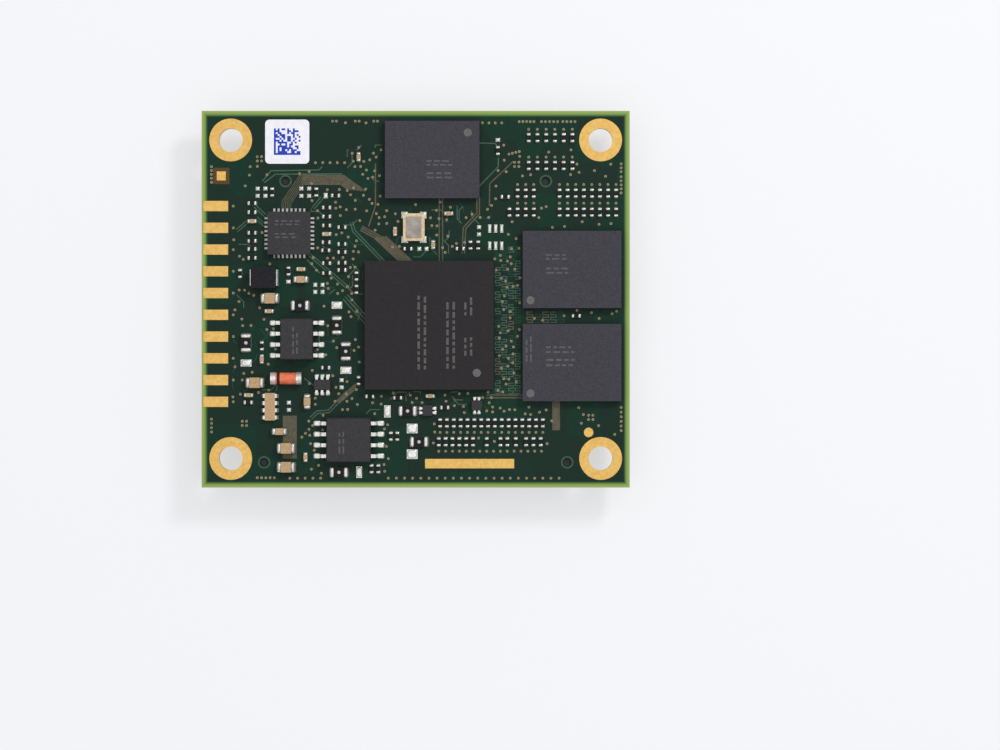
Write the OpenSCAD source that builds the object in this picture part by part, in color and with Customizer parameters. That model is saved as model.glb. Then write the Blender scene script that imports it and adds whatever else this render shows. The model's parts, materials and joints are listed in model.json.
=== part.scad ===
// System on module: a small computer board that plugs onto a carrier board.
// The module stands on the rims of its two connectors, processor side up.
// Units are millimetres. X runs along the board, Y across it, Z up.

/* [Board] */
// Length of the board
board_l = 50; // [45:0.5:60]
// Width of the board
board_w = 44; // [40:0.5:54]
// Thickness of the board
board_t = 1.5; // [1:0.1:2.4]
// Distance of each mounting hole from both board edges
hole_inset = 3.4; // [3:0.1:3.6]
// Clear diameter of a mounting hole
hole_d = 2.8; // [2.2:0.1:3.2]
// Diameter of the plated ring round a mounting hole
ring_d = 5; // [4:0.1:5.4]
// Wall of the plating inside a mounting hole
plating_t = 0.1; // [0.05:0.05:0.2]
// Thickness of the copper pads on both faces
pad_t = 0.05; // [0.03:0.01:0.1]

/* [Edge contacts] */
// Number of edge contacts on each face
finger_count = 10; // [4:1:11]
// Pitch of the edge contacts
finger_pitch = 2.54; // [2:0.01:2.6]
// Width of an edge contact
finger_w = 1.2; // [0.8:0.1:1.6]
// Length of an edge contact
finger_l = 2.9; // [2:0.1:3.2]

/* [Connectors] */
// Height of the connectors below the board
conn_h = 4.3; // [3.6:0.1:8]
// Positions in each row of the long connector on a board of the layout's length
long_pins = 60; // [20:2:60]
// Positions in each row of the short connector on a board of the layout's length
short_pins = 50; // [20:2:50]
// Pitch of the connector contacts
conn_pitch = 0.5; // [0.4:0.05:0.5]
// Width of the connector housings
conn_w = 7.24; // [7:0.02:7.4]
// Wall of the connector housings
conn_wall = 0.5; // [0.4:0.05:0.6]
// Floor of the connector housings
conn_floor = 0.9; // [0.7:0.05:1.4]
// Width of the tongue without its contacts
tongue_w = 3.2; // [2.8:0.1:3.4]
// Thickness of a contact
contact_t = 0.2; // [0.12:0.02:0.24]
// Width of a contact
contact_w = 0.22; // [0.16:0.02:0.26]
// Length of the solder tail outside the housing
tail_l = 0.6; // [0.4:0.05:0.7]

/* [Packages] */
// Side of the processor
processor_s = 15; // [13:0.5:15.5]
// Height of the processor body
processor_h = 1; // [0.7:0.05:1.6]
// Length of a memory chip
memory_l = 11.5; // [9:0.5:11.5]
// Width of a memory chip
memory_w = 9; // [8:0.5:9.5]
// Length of the flash memory
flash_l = 11; // [9:0.5:11.5]
// Width of the flash memory
flash_w = 9; // [8:0.5:9.5]
// Height of a memory body
memory_h = 0.8; // [0.6:0.05:1.2]
// Pitch of the solder balls
ball_pitch = 0.8; // [0.65:0.05:0.8]
// Height of a solder ball
ball_h = 0.35; // [0.25:0.05:0.45]
// Side of the network chip
network_s = 5; // [4.5:0.1:5.1]
// Side of the power chip
power_s = 6; // [5.5:0.1:6.1]
// Height of the flat packages
flat_h = 0.85; // [0.6:0.05:1]
// Thickness of a gull-wing lead
lead_t = 0.2; // [0.14:0.02:0.24]

/* [Chip parts] */
// Length of a small chip part
small_l = 1; // [0.9:0.05:1.05]
// Width of a small chip part
small_w = 0.5; // [0.4:0.05:0.55]
// Length of a medium chip part
medium_l = 1.6; // [1.4:0.05:1.7]
// Width of a medium chip part
medium_w = 0.8; // [0.6:0.05:0.85]
// Length of a large chip part
large_l = 2; // [1.8:0.05:2.1]
// Width of a large chip part
large_w = 1.25; // [1:0.05:1.3]
// Side of the square labels
label_s = 5.15; // [4:0.05:5.2]

/* [Hidden] */
$fn = 48;
eps = 0.01;
board_z = conn_h;
top_z = conn_h + board_t;

// The layout was drawn on this board; its places spread with the board, its parts keep their sizes
layout_l = 50;
layout_w = 44;
fx = board_l / layout_l;
fy = board_w / layout_w;

// Mounting holes, locating holes and edge contacts follow the board edges
hole_x = board_l / 2 - hole_inset;
hole_y = board_w / 2 - hole_inset;
finger_inset = 0.2;
finger_from_middle = -0.55;
finger_y = finger_from_middle * fy;

// The connectors gain or lose positions, two at a time, as the board grows or shrinks
conn_end = 3.6;
more_pins = 2 * floor((board_l - layout_l) / (2 * conn_pitch) + eps);
long_n = long_pins + more_pins;
short_n = short_pins + more_pins;
long_from_middle = -16.65;
short_from_middle = 16.2;
long_y = long_from_middle * fy;
short_y = short_from_middle * fy;
tongue_end = 1.45;
tongue_top = conn_h - 0.3;
slot_w = 0.65;
bridge_l = 5.2;
notch_l = 0.45;
notch_w = 1.4;
tail_t = 0.15;
tail_gap = 0.05;
slit = 0.03;
key = 1.6;
peg_d = 0.9;
peg_hole_d = 1;
peg_inset = 0.65;
peg_offset = -2.4;
peg_l = 1.1;

// Places of the larger parts on the top face
processor_at = [1.6, -3.05];
flash_at = [1.95, 16.25];
memory_a_at = [18.25, 3.45];
memory_b_at = [18.25, -7.4];
network_at = [-14.75, 7.7];
eeprom_at = [-13.85, -4.67];
serial_at = [-7.8, -16.4];
crystal_at = [-0.2, 8.4];
choke_at = [-17.7, 2.5];
diode_at = [-15.1, -9.25];
array_at = [-17, -12.55];
label_at = [-15, 18.4];
mark_at = [-22.7, 14.4];
point_from_hole = [-1.4, 3.05];
name_bar_at = [6.3, -19.2];
name_bar_size = [10.4, 1.1];
mark_s = 1.05;
point_d = 1.1;
point_low_d = 1;
reset_at = [-10.9, -10];
filter_at = [7.15, -12.4];

// Places of the larger parts on the underside, as seen from below
power_at = [11.95, -2.95];
crystal_low_at = [14.45, 8];
watch_at = [14.6, -8.95];
watch_size = [5, 1.9, 0.7];
crystal_size = [3.2, 2.5, 0.6];
lid_rim = 0.38;
lid_t = 0.15;
land = 0.2;
switch_at = [17.2, 2.72];
label_low_at = [-21, -8.45];
mark_low_at = [22, 14.45];

// Moulded bodies with gull-wing leads: body length, body width, span, pitch, leads a side, height
eeprom_size = [3.9, 4.9, 6, 1.27, 4, 1.5];
serial_size = [5.25, 5.25, 7.9, 1.27, 4, 1.75];
reset_size = [1.25, 2, 2.1, 0.65, 3, 0.9];
gate_size = [1.2, 1.3, 1.7, 0.5, 2, 0.6];
switch_size = [1.25, 2, 2.3, 0.65, 3, 0.95];

// Chip parts are [x, y, quarter turns]; small, medium and large sizes
small = [small_l, small_w, 0.25];
medium = [medium_l, medium_w, 0.35];
large = [large_l, large_w, 0.4];

// Parts close to a package keep their distance from its edge
processor_gap = 0.5;
serial_gap = 0.275;
gate_gap = 0.8;
watch_gap = 0.25;
below_processor = processor_at[1] - (processor_s / 2 + processor_gap + small_w / 2) / fy;
below_serial = serial_at[1] - (serial_size[1] / 2 + serial_gap + small_l / 2) / fy;
below_watch = watch_at[1] - (watch_size[1] / 2 + land + watch_gap + small_l / 2) / fy;
gate_at = [1.4, below_processor - (small_w / 2 + gate_gap + gate_size[1] / 2) / fy];

// The two rows beside a mounting ring end at this distance from it
ring_clear = 0.55;
ring_row = 6;
ring_pitch = 1.02;
ring_row_x = (hole_x - ring_d / 2 - ring_clear - small_w / 2) / fx - (ring_row - 1) * ring_pitch;

// Rows of upright small resistors: first x, pitch, count, y
rows_top = [
    [ring_row_x, ring_pitch, ring_row, 18.85],
    [ring_row_x, ring_pitch, ring_row, 15.6],
    [16.8, 0.943, 8, 12.37],
    [16.8, 0.943, 8, 10.15],
    [11.9, 0.95, 3, 12.37],
    [10.95, 0.95, 4, 10.15],
    [2.85, 0.8, 16, -14.45],
    [2.7, 0.8, 6, -16.65],
    [12.9, 0.85, 3, -16.65]
];

resistors_upright = [
    [-16.75, 12.5], [-11.6, 12.5], [-20.5, 3], [-14.85, 3.28], [-17.95, -5.45], [-6.9, 2.7],
    [-6.9, 1.15], [-6.65, -9.5], [6.4, 6.3], [7.3, 6.3], [9.6, 17.35], [-2.9, -16],
    [-2.15, -16], [-5.15, below_serial], [-4.35, below_serial], [8.3, -16.65], [9.9, -16.65],
    [10.7, -16.65], [11.7, -16.65]
];

resistors_level = [
    [-9.35, 12.1], [-19.1, 11.2], [-19.1, 10.15], [-19.1, 7.75], [-19.1, 6.8], [-19.1, 5.85],
    [-19.1, 4.8], [-10.4, 10.7], [-10.4, 9.65], [-10.4, 8.6], [-10.45, 6.65], [-10.5, 5.7],
    [-10.4, 4.2], [-10.4, 3.05], [-8.6, 8.4], [-8.6, 6.45], [-8.6, 5.5], [-8.6, 4.25],
    [-8.6, 3.4], [-0.9, 5.88], [5.2, 5.9], [10.45, 11.95], [-10.5, -8], [-19.55, -12.05],
    [-5.35, -11.35], [-2.1, -11.5], [3.4, -12.65], [18.75, -1.95]
];

small_resistors_top = concat(
    [for (r = rows_top, i = [0:r[2] - 1]) [r[0] + r[1] * i, r[3], 1]],
    [for (p = resistors_upright) [p[0], p[1], 1]],
    [for (p = resistors_level) [p[0], p[1], 0]]
);

jumpers_top = [
    [-9.2, -3.05, 1], [-8.15, -6.1, 1], [-19.8, -5.1, 1], [-13.5, -0.75, 0],
    [-0.93, -13.05, 0], [0.4, -16.65, 0], [-8.95, -20.2, 0]
];

small_capacitors_top = [
    [-19.1, 9.1, 0], [-10.4, 7.6, 0], [-17.1, -1.4, 0], [-13.4, 3.5, 0], [-6.65, 16.6, 1],
    [-2.4, 7.9, 1], [2.05, 6.35, 1], [-17.95, -7, 1], [-19.5, -11.2, 0], [-12.85, -18.45, 1],
    [1.7, below_processor, 0], [3.85, 10, 0]
];

medium_capacitors_top = [[-15.9, -15.45, 0], [-12.65, -11.95, 1], [-13.4, 2.3, 0]];

large_capacitors_top = [
    [-17, 0.1, 0], [-18.75, -9.75, 0], [-15.1, -17.4, 0], [-15.1, -19.6, 0]
];

// Lands below the four corners of a crystal: [x, y, width, depth]
function lands(p, l, w) = let (s = 0.3 * min(l, w))
    [for (x = [-1, 1], y = [-1, 1])
        [p[0] + x * (l / 2 + land - s / 2) / fx, p[1] + y * (w / 2 + land - s / 2) / fy, s, s]];

// Tinned pads: [x, y, width, depth]
triple_at = [8.65, 7.25];
triple_pitch = [0.7, 2];
triple_s = [0.35, 0.95];
low_pair_at = [17.1, 4.75];
pair_gap = 0.85;
pad_s = [0.45, 0.42];
upright_pairs_top = [
    [-18.45, 12.5], [-17.55, 12.5], [-13.35, 12.5], [-12.45, 12.5], [-8.65, -9.87],
    [-14.8, -12.5], [7.4, 8]
];
level_pairs_top = [[-11.3, 1.68], [-11.3, 0.85], [0.85, 5.88]];
single_pads_top = [
    [-10.5, 12.1, 0.45, 0.6], [9.6, 18.6, 0.5, 0.42], [-14.85, 2.05, 0.5, 0.42],
    [-9.2, -0.7, 1.2, 0.8], [-8.15, -8.3, 1.25, 0.8], [-19.8, -7.45, 1.25, 0.8],
    [-3.3, -13.1, 0.75, 1.4], [-0.4, -15.1, 1.25, 1.1], [-0.4, -18.1, 1.25, 1.1],
    [-6.6, -20.2, 0.65, 1.3]
];
bare_pads_top = concat(
    [for (p = upright_pairs_top, s = [-1, 1]) [p[0], p[1] + s * pair_gap / 2, pad_s[0], pad_s[1]]],
    [for (p = level_pairs_top, s = [-1, 1]) [p[0] + s * pair_gap / 2, p[1], pad_s[1], pad_s[0]]],
    [for (i = [0:2], s = [1, -1])
        concat(triple_at + [triple_pitch[0] * i, s * triple_pitch[1] / 2], triple_s)],
    lands(crystal_at, crystal_size[1], crystal_size[0]),
    single_pads_top
);

resistors_low_upright = [
    [20.2, 12.85], [20.2, 11.2], [20.2, 8.5], [20.2, 6.2], [20.2, 4.1], [10.35, 4.58],
    [19.95, 1.9], [20.75, -3.25], [6.2, -4.6], [7.05, -4.9], [6.2, -6.2], [-6.55, -9.2],
    [1.4, -8.3], [-5.1, -3.4], [4.8, 5.4], [8.85, 2.8], [6.9, 2.4]
];
resistors_low_level = [[13, 5.5], [19.5, 0.05], [19.5, -0.95]];
small_resistors_low = concat(
    [for (p = resistors_low_upright) [p[0], p[1], 1]],
    [for (p = resistors_low_level) [p[0], p[1], 0]]
);
medium_resistors_low = [[6.5, 0, 0]];

capacitors_low_upright = [
    [8.7, 7.9], [9.9, 7.9], [8.05, 2.8], [9.8, 2.9], [4.7, 2.15], [19.3, -5.2], [12.05, below_watch],
    [5.4, -9.75], [-4.6, -9], [-3.8, -8.8], [-1.1, -8.6], [-0.25, -8.65], [0.55, -8.25],
    [-7.8, -9.35], [-4.15, -3.2], [-3.35, -2.9], [-1.05, -3.4], [-2.6, -4.5], [-1.75, -4.6],
    [1.5, -5.1], [-3.3, -5.95], [-1.6, -6.15], [-0.15, -5.75], [1.55, -6.65], [-2.6, -7.5],
    [-16.2, -9], [-16.75, -10.75], [-12.6, -3.9]
];
capacitors_low_level = [
    [17.3, -3.95], [16.7, -5.3], [16.25, -6.5], [7.15, -1.55], [7.1, -2.45], [6.95, -3.45],
    [4, -7.5], [11.2, -7.4], [14.2, -11.2], [16.75, -11.2], [-2.6, -9.9], [-6.8, -4.3],
    [-6.8, -5.2], [-4.3, -4.6], [-4.9, -6.15], [3.35, -3.8], [3.35, -5.4], [4.4, -4.6],
    [-22.35, -12.15], [-20.4, -12.1], [-14.4, -10.75], [-20.5, -4.7], [-15.25, -5.9]
];
// Plain grid below the processor where the underside is hidden
hidden_at = [-5, -1];
hidden_pitch = [2.2, 2];
hidden_grid = [for (i = [0:3], j = [0:2]) hidden_at + [hidden_pitch[0] * i, hidden_pitch[1] * j]];
small_capacitors_low = concat(
    [for (p = capacitors_low_upright) [p[0], p[1], 1]],
    [for (p = hidden_grid) [p[0], p[1], 1]],
    [for (p = capacitors_low_level) [p[0], p[1], 0]]
);
medium_capacitors_low = [
    [7.45, 7.9, 1], [13, 4.3, 0], [18.95, -3, 1], [3.85, -6.45, 0], [8.75, -10.55, 0],
    [0.65, -3.7, 0], [-6.8, -7.1, 0], [-11.05, -10.3, 1]
];
large_capacitors_low = [[-17.5, -4.5, 0]];

bead_places = [[3.7, -9.3, 1], [-4.75, -11.1, 0], [-1.15, -11.1, 0]];
choke_places = [[12.75, 2.3, 0], [17, -1, 1], [8.4, -8.6, 0]];
choke_low_size = [2.6, 2.1, 1.2, 0.62];
choke_size = [3.2, 2.5, 1.7];
test_points_low = [
    [18.25, 14.65], [20.85, -0.2], [17.85, -6.5], [8.4, 1.3], [4.8, 3.6], [10.6, -11.1],
    [1.9, -10.2], [-9, -8.8], [-9.1, -10.7], [-7.65, -11.2], [19.9, -12.45], [-22.65, -13.6],
    [-19.4, -15.6]
];
bare_pads_low = concat(
    [for (s = [-1, 1]) [low_pair_at[0] + s * pair_gap / 2, low_pair_at[1], pad_s[1], pad_s[0]]],
    lands(crystal_low_at, crystal_size[0], crystal_size[1]),
    lands(watch_at, watch_size[0], watch_size[1])
);

// Dimple at contact one and its distance from both edges of the package
dimple_d = 1;
dimple_t = 0.03;
processor_dot = 1.95;
flash_dot = 1.35;
memory_dot = 0.9;
flat_dot = 0.7;
flat_dot_d = 0.5;
flat_dot_t = 0.04;

// Solder balls, contacts of the flat packages and solder toes
ball_r = 0.23;
ball_neck_r = 0.17;
flat_pad_l = 0.4;
flat_pad_w = 0.24;
flat_rise = 0.3;
toe_most = 0.18;

// Heights of the chip parts and how far their terminals stand proud
resistor_h = 0.35;
jumper_h = 0.5;
small_cap_h = 0.5;
medium_cap_h = 0.8;
large_cap_h = 1.1;
bead_h = 0.9;
proud = 0.02;

// Sets the children on the top face
module on_top()
    translate([0, 0, top_z])
        children();

// Sets the children on the underside; their x and y are as seen from below
module underside()
    translate([0, 0, board_z])
        rotate([0, 180, 0])
            children();

// Repeats the children at each [x, y, quarter turns]
module at_each(places)
    for (p = places)
        translate([p[0] * fx, p[1] * fy, 0])
            rotate(90 * p[2])
                children();

// Sets the children at a place of the layout
module at(p)
    translate([p[0] * fx, p[1] * fy, 0])
        children();

// Block that stands centred on the face
module block(x, y, h)
    translate([-x / 2, -y / 2, 0])
        cube([x, y, h]);

// Square with round corners
module rounded_square(s, r) {
    square([s, s - 2 * r], center = true);
    square([s - 2 * r, s], center = true);
    for (x = [-1, 1], y = [-1, 1])
        translate([x * (s / 2 - r), y * (s / 2 - r)])
            circle(r);
}

// Body of a chip part between its two terminals
module chip_body(size, h)
    translate([0, 0, proud])
        block(size[0] - 2 * size[2], size[1] - 2 * proud, h - 2 * proud);

// The two terminals of a chip part, each with its solder toe
module chip_terminals(size, h) {
    toe = min(toe_most, size[2] / 2);
    rise = 0.6 * h;
    for (s = [0, 1])
        mirror([s, 0, 0])
            translate([size[0] / 2, size[1] / 2, 0])
                rotate([90, 0, 0])
                    linear_extrude(size[1])
                        polygon([
                            [-size[2], 0], [toe, 0], [0, rise], [0, h], [-size[2], h]
                        ]);
}

// One reflowed solder ball
module ball()
    rotate_extrude($fn = 24)
        polygon([
            [0, 0], [ball_neck_r, 0], [ball_r, ball_h / 3],
            [ball_r, 2 * ball_h / 3], [ball_neck_r, ball_h], [0, ball_h]
        ]);

// Grid of solder balls; the columns in the middle can be left free
module ball_grid(columns, rows, free = 0)
    for (i = [0:columns - 1], j = [0:rows - 1])
        if (abs(i - (columns - 1) / 2) >= free / 2)
            translate([(i - (columns - 1) / 2) * ball_pitch, (j - (rows - 1) / 2) * ball_pitch, 0])
                ball();

// Body of a ball grid package on its balls, with a dimple at contact one
module ball_package(l, w, h, corner, inset)
    difference() {
        translate([0, 0, ball_h])
            block(l, w, h);
        translate([corner[0] * (l / 2 - inset), corner[1] * (w / 2 - inset), ball_h + h - dimple_t])
            cylinder(d = dimple_d, h = 1);
    }

// Flat package on its contacts
module flat_package(s)
    difference() {
        translate([0, 0, pad_t])
            block(s, s, flat_h);
        translate([flat_dot - s / 2, s / 2 - flat_dot, flat_h + pad_t - flat_dot_t])
            cylinder(d = flat_dot_d, h = 1);
    }

// Contacts along the four sides of a flat package, each with its solder toe
module flat_contacts(s, count, pitch)
    for (q = [0:3])
        rotate(90 * q)
            for (i = [0:count - 1])
                translate([s / 2, (i - (count - 1) / 2) * pitch + flat_pad_w / 2, 0])
                    rotate([90, 0, 0])
                        linear_extrude(flat_pad_w)
                            polygon([
                                [-flat_pad_l, 0], [flat_pad_l, 0], [flat_pad_l, pad_t],
                                [0, flat_rise], [0, pad_t], [-flat_pad_l, pad_t]
                            ]);

// Half outline of a moulded body with drafted sides and a level band for the leads
function mould_side(w, h, low) = let (mid = low + (h - low) / 2, d = 0.1 * (h - low))
    [
        [w / 2 - d, low], [w / 2, mid - lead_t / 2], [w / 2, mid + lead_t / 2], [w / 2 - d, h],
        [d - w / 2, h], [-w / 2, mid + lead_t / 2], [-w / 2, mid - lead_t / 2], [d - w / 2, low]
    ];

// Moulded body drafted on all four sides
module mould(size, low = 0.12)
    intersection() {
        translate([0, size[1] / 2, 0])
            rotate([90, 0, 0])
                linear_extrude(size[1])
                    polygon(mould_side(size[0], size[5], low));
        translate([-size[0] / 2, 0, 0])
            rotate([90, 0, 90])
                linear_extrude(size[0])
                    polygon(mould_side(size[1], size[5], low));
    }

// Gull-wing leads on the two long sides; each foot stands on the board
module gull_leads(size, width, low = 0.12, skip = -1) {
    mid = low + (size[5] - low) / 2;
    reach = (size[2] - size[0]) / 2;
    foot = 0.45 * reach;
    for (side = [0, 1], i = [0:size[4] - 1])
        if (side == 0 || i != skip)
            rotate(180 * side)
                translate([size[0] / 2, (i - (size[4] - 1) / 2) * size[3] + width / 2, 0])
                    rotate([90, 0, 0])
                        linear_extrude(width)
                            polygon([
                                [0, mid - lead_t / 2], [reach * 0.25, mid - lead_t / 2],
                                [reach - foot - lead_t / 2, 0], [reach, 0], [reach, lead_t],
                                [reach - foot + lead_t / 4, lead_t],
                                [reach * 0.25 + lead_t, mid + lead_t / 2], [0, mid + lead_t / 2]
                            ]);
}

// Ceramic base of a crystal with a notch in each corner
module crystal_base(l, w, h)
    translate([0, 0, pad_t])
        difference() {
            block(l, w, h);
            for (x = [-1, 1], y = [-1, 1])
                translate([x * l / 2, y * w / 2, -eps])
                    cylinder(r = 0.18, h = h + 2 * eps);
        }

// Metal lid of a crystal, set back from the edges of its base
module crystal_lid(l, w, h)
    translate([0, 0, pad_t + h])
        block(l - 2 * lid_rim, w - 2 * lid_rim, lid_t);

// Length of a connector housing with so many positions in a row
function conn_l(pins) = (pins - 1) * conn_pitch + 2 * conn_end;

// Length of a connector tongue
function tongue_l(pins) = (pins - 1) * conn_pitch + 2 * tongue_end;

// Distance from the middle of a connector to its locating pegs
function peg_x(pins) = conn_l(pins) / 2 - peg_inset;

// Housing of a board-to-board connector, drawn upwards from the board
module conn_housing(pins) {
    l = conn_l(pins);
    run = (pins - 1) * conn_pitch + 2 * contact_w;
    t_l = tongue_l(pins);
    difference() {
        union() {
            difference() {
                block(l, conn_w, conn_h);
                translate([0, 0, conn_floor])
                    block(l - 2 * conn_wall, conn_w - 2 * conn_wall, conn_h);
            }
            block(t_l, tongue_w, tongue_top);
            for (s = [0, 1])
                mirror([s, 0, 0])
                    translate([l / 2 - conn_wall / 2, -conn_w / 2 + conn_wall / 2, 0])
                        linear_extrude(conn_h)
                            polygon([[0, 0], [0, key], [-key, 0]]);
            for (s = [-1, 1])
                translate([s * peg_x(pins), peg_offset, -peg_l])
                    cylinder(d = peg_d, h = peg_l + eps);
        }
        for (s = [0, 1])
            mirror([s, 0, 0]) {
                translate([bridge_l / 2, -slot_w / 2, conn_floor])
                    cube([(t_l - bridge_l) / 2 - notch_l, slot_w, conn_h]);
                translate([t_l / 2 - 2 * notch_l, -notch_w / 2, conn_floor])
                    cube([notch_l, notch_w, conn_h]);
            }
        for (s = [0, 1])
            mirror([0, s, 0]) {
                translate([-run / 2, tongue_w / 2, -eps])
                    cube([run, contact_t + slit, conn_floor + 2 * eps]);
                translate([-run / 2, tongue_w / 2, -eps])
                    cube([run, conn_w / 2, tail_t + tail_gap + eps]);
            }
    }
}

// Bent contacts: solder tail on the board, then up along the side of the tongue
module conn_contacts(pins)
    for (s = [0, 1])
        mirror([0, s, 0])
            for (i = [0:pins - 1])
                translate([(i - (pins - 1) / 2) * conn_pitch - contact_w / 2, tongue_w / 2, 0])
                    rotate([90, 0, 90])
                        linear_extrude(contact_w)
                            polygon([
                                [0, 0], [(conn_w - tongue_w) / 2 + tail_l, 0],
                                [(conn_w - tongue_w) / 2 + tail_l, tail_t], [contact_t, tail_t],
                                [contact_t, tongue_top - 0.25], [contact_t / 2, tongue_top - 0.05],
                                [0, tongue_top - 0.05]
                            ]);

// Board outline with its drilled holes
module board()
    color("darkgreen")
        difference() {
            translate([0, 0, board_z])
                block(board_l, board_w, board_t);
            for (x = [-1, 1], y = [-1, 1])
                translate([x * hole_x, y * hole_y, board_z - 1])
                    cylinder(d = hole_d + 2 * plating_t, h = board_t + 2);
            for (x = [-1, 1]) {
                translate([x * peg_x(long_n), long_y + peg_offset, board_z - 1])
                    cylinder(d = peg_hole_d, h = board_t + 2);
                translate([x * peg_x(short_n), short_y + peg_offset, board_z - 1])
                    cylinder(d = peg_hole_d, h = board_t + 2);
            }
        }

// Plated barrels with a ring on each face
module mounting_rings()
    color("gold")
        for (x = [-1, 1], y = [-1, 1])
            translate([x * hole_x, y * hole_y, board_z])
                rotate_extrude()
                    polygon([
                        [hole_d / 2, -pad_t], [ring_d / 2, -pad_t], [ring_d / 2, 0],
                        [hole_d / 2 + plating_t, 0], [hole_d / 2 + plating_t, board_t],
                        [ring_d / 2, board_t], [ring_d / 2, board_t + pad_t],
                        [hole_d / 2, board_t + pad_t]
                    ]);

// Edge contacts that end just inside one short board edge
module finger_row(side)
    for (i = [0:finger_count - 1])
        translate([
            side * (board_l / 2 - finger_inset - finger_l / 2),
            finger_y + (i - (finger_count - 1) / 2) * finger_pitch, 0
        ])
            block(finger_l, finger_w, pad_t);

module contact_fingers_top()
    color("gold")
        on_top()
            finger_row(-1);

module contact_fingers_low()
    color("gold")
        underside()
            finger_row(1);

module test_pads_top()
    color("gold")
        on_top() {
            at(mark_at)
                block(mark_s, mark_s, pad_t);
            translate([hole_x + point_from_hole[0], point_from_hole[1] - hole_y, 0])
                cylinder(d = point_d, h = pad_t);
            at(name_bar_at)
                block(name_bar_size[0], name_bar_size[1], pad_t);
        }

module test_pads_low()
    color("gold")
        underside() {
            at(mark_low_at)
                block(mark_s, mark_s, pad_t);
            for (p = test_points_low)
                at(p)
                    cylinder(d = point_low_d, h = pad_t);
        }

module pads(list)
    for (p = list)
        at(p)
            block(p[2], p[3], pad_t);

module tinned_pads_top()
    color("silver")
        on_top()
            pads(bare_pads_top);

module tinned_pads_low()
    color("silver")
        underside()
            pads(bare_pads_low);

module label_top()
    color("white")
        on_top()
            at(label_at)
                linear_extrude(0.1)
                    rounded_square(label_s, 0.5);

module label_low()
    color("white")
        underside()
            at(label_low_at)
                linear_extrude(0.1)
                    rounded_square(label_s, 0.5);

module processor()
    color("dimgray")
        on_top()
            at(processor_at)
                ball_package(processor_s, processor_s, processor_h, [1, -1], processor_dot);

module processor_balls()
    color("silver")
        on_top()
            at(processor_at)
                ball_grid(floor((processor_s - 0.6) / ball_pitch), floor((processor_s - 0.6) / ball_pitch));

module flash_memory()
    color("dimgray")
        on_top()
            at(flash_at)
                ball_package(flash_l, flash_w, memory_h, [1, 1], flash_dot);

module flash_balls()
    color("silver")
        on_top()
            at(flash_at)
                ball_grid(12, 10, 4);

module working_memory_a()
    color("dimgray")
        on_top()
            at(memory_a_at)
                ball_package(memory_l, memory_w, memory_h, [-1, -1], memory_dot);

module working_memory_b()
    color("dimgray")
        on_top()
            at(memory_b_at)
                ball_package(memory_l, memory_w, memory_h, [-1, -1], memory_dot);

module memory_balls()
    color("silver")
        on_top()
            for (p = [memory_a_at, memory_b_at])
                at(p)
                    rotate(90)
                        ball_grid(9, 13, 3);

module network_chip()
    color("dimgray")
        on_top()
            at(network_at)
                flat_package(network_s);

module network_contacts()
    color("silver")
        on_top()
            at(network_at)
                flat_contacts(network_s, 8, 0.5);

module eeprom_body()
    color("dimgray")
        on_top()
            at(eeprom_at)
                mould(eeprom_size);

module eeprom_leads()
    color("silver")
        on_top()
            at(eeprom_at)
                gull_leads(eeprom_size, 0.42);

module serial_flash_body()
    color("dimgray")
        on_top()
            at(serial_at)
                mould(serial_size);

module serial_flash_leads()
    color("silver")
        on_top()
            at(serial_at)
                gull_leads(serial_size, 0.42);

module small_ic_bodies_top()
    color("dimgray")
        on_top() {
            at(reset_at)
                rotate(90)
                    mould(reset_size, 0.06);
            at(gate_at)
                mould(gate_size, 0.06);
            at(filter_at)
                rotate(90)
                    mould(gate_size, 0.06);
        }

module small_ic_leads_top()
    color("silver")
        on_top() {
            at(reset_at)
                rotate(90)
                    gull_leads(reset_size, 0.3, 0.06);
            at(gate_at)
                gull_leads(gate_size, 0.24, 0.06);
            at(filter_at)
                rotate(90)
                    gull_leads(gate_size, 0.24, 0.06);
        }

module main_crystal_base()
    color("tan")
        on_top()
            at(crystal_at)
                crystal_base(crystal_size[1], crystal_size[0], crystal_size[2]);

module main_crystal_lid()
    color("silver")
        on_top()
            at(crystal_at)
                crystal_lid(crystal_size[1], crystal_size[0], crystal_size[2]);

module choke_top_body()
    color("black")
        on_top()
            at(choke_at)
                translate([0, 0, 0.1])
                    block(choke_size[0] - 0.3, choke_size[1], choke_size[2]);

module choke_top_terminals()
    color("silver")
        on_top()
            at(choke_at)
                for (s = [-1, 1])
                    translate([s * choke_size[0] / 2, choke_size[1] / 2 - 0.3, 0])
                        mirror([s < 0 ? 1 : 0, 0, 0])
                            rotate([90, 0, 0])
                                linear_extrude(choke_size[1] - 0.6)
                                    polygon([
                                        [-0.9, 0], [0.1, 0], [0, 0.9], [-0.15, 0.9], [-0.15, 0.1],
                                        [-0.9, 0.1]
                                    ]);

module diode_glass()
    color("orangered")
        on_top()
            at(diode_at)
                translate([-1.2, 0, 0.75])
                    rotate([0, 90, 0])
                        cylinder(d = 1.4, h = 2.4);

module diode_caps()
    color("silver")
        on_top()
            at(diode_at)
                for (s = [-1, 1])
                    translate([s > 0 ? 1.2 : -1.8, 0, 0.75])
                        rotate([0, 90, 0])
                            cylinder(d = 1.5, h = 0.6);

module array_body()
    color("tan")
        on_top()
            at(array_at)
                block(1.2, 3.2, 0.6);

module array_terminals()
    color("silver")
        on_top()
            at(array_at)
                for (s = [0, 1], i = [0:3])
                    mirror([s, 0, 0])
                        translate([0.6, (i - 1.5) * 0.84 + 0.22, 0])
                            rotate([90, 0, 0])
                                linear_extrude(0.44)
                                    polygon([[0, 0], [0.4, 0], [0.2, 0.4], [0.2, 0.6], [0, 0.6]]);

module resistor_bodies_top()
    color("black")
        on_top()
            at_each(small_resistors_top)
                chip_body(small, resistor_h);

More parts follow.
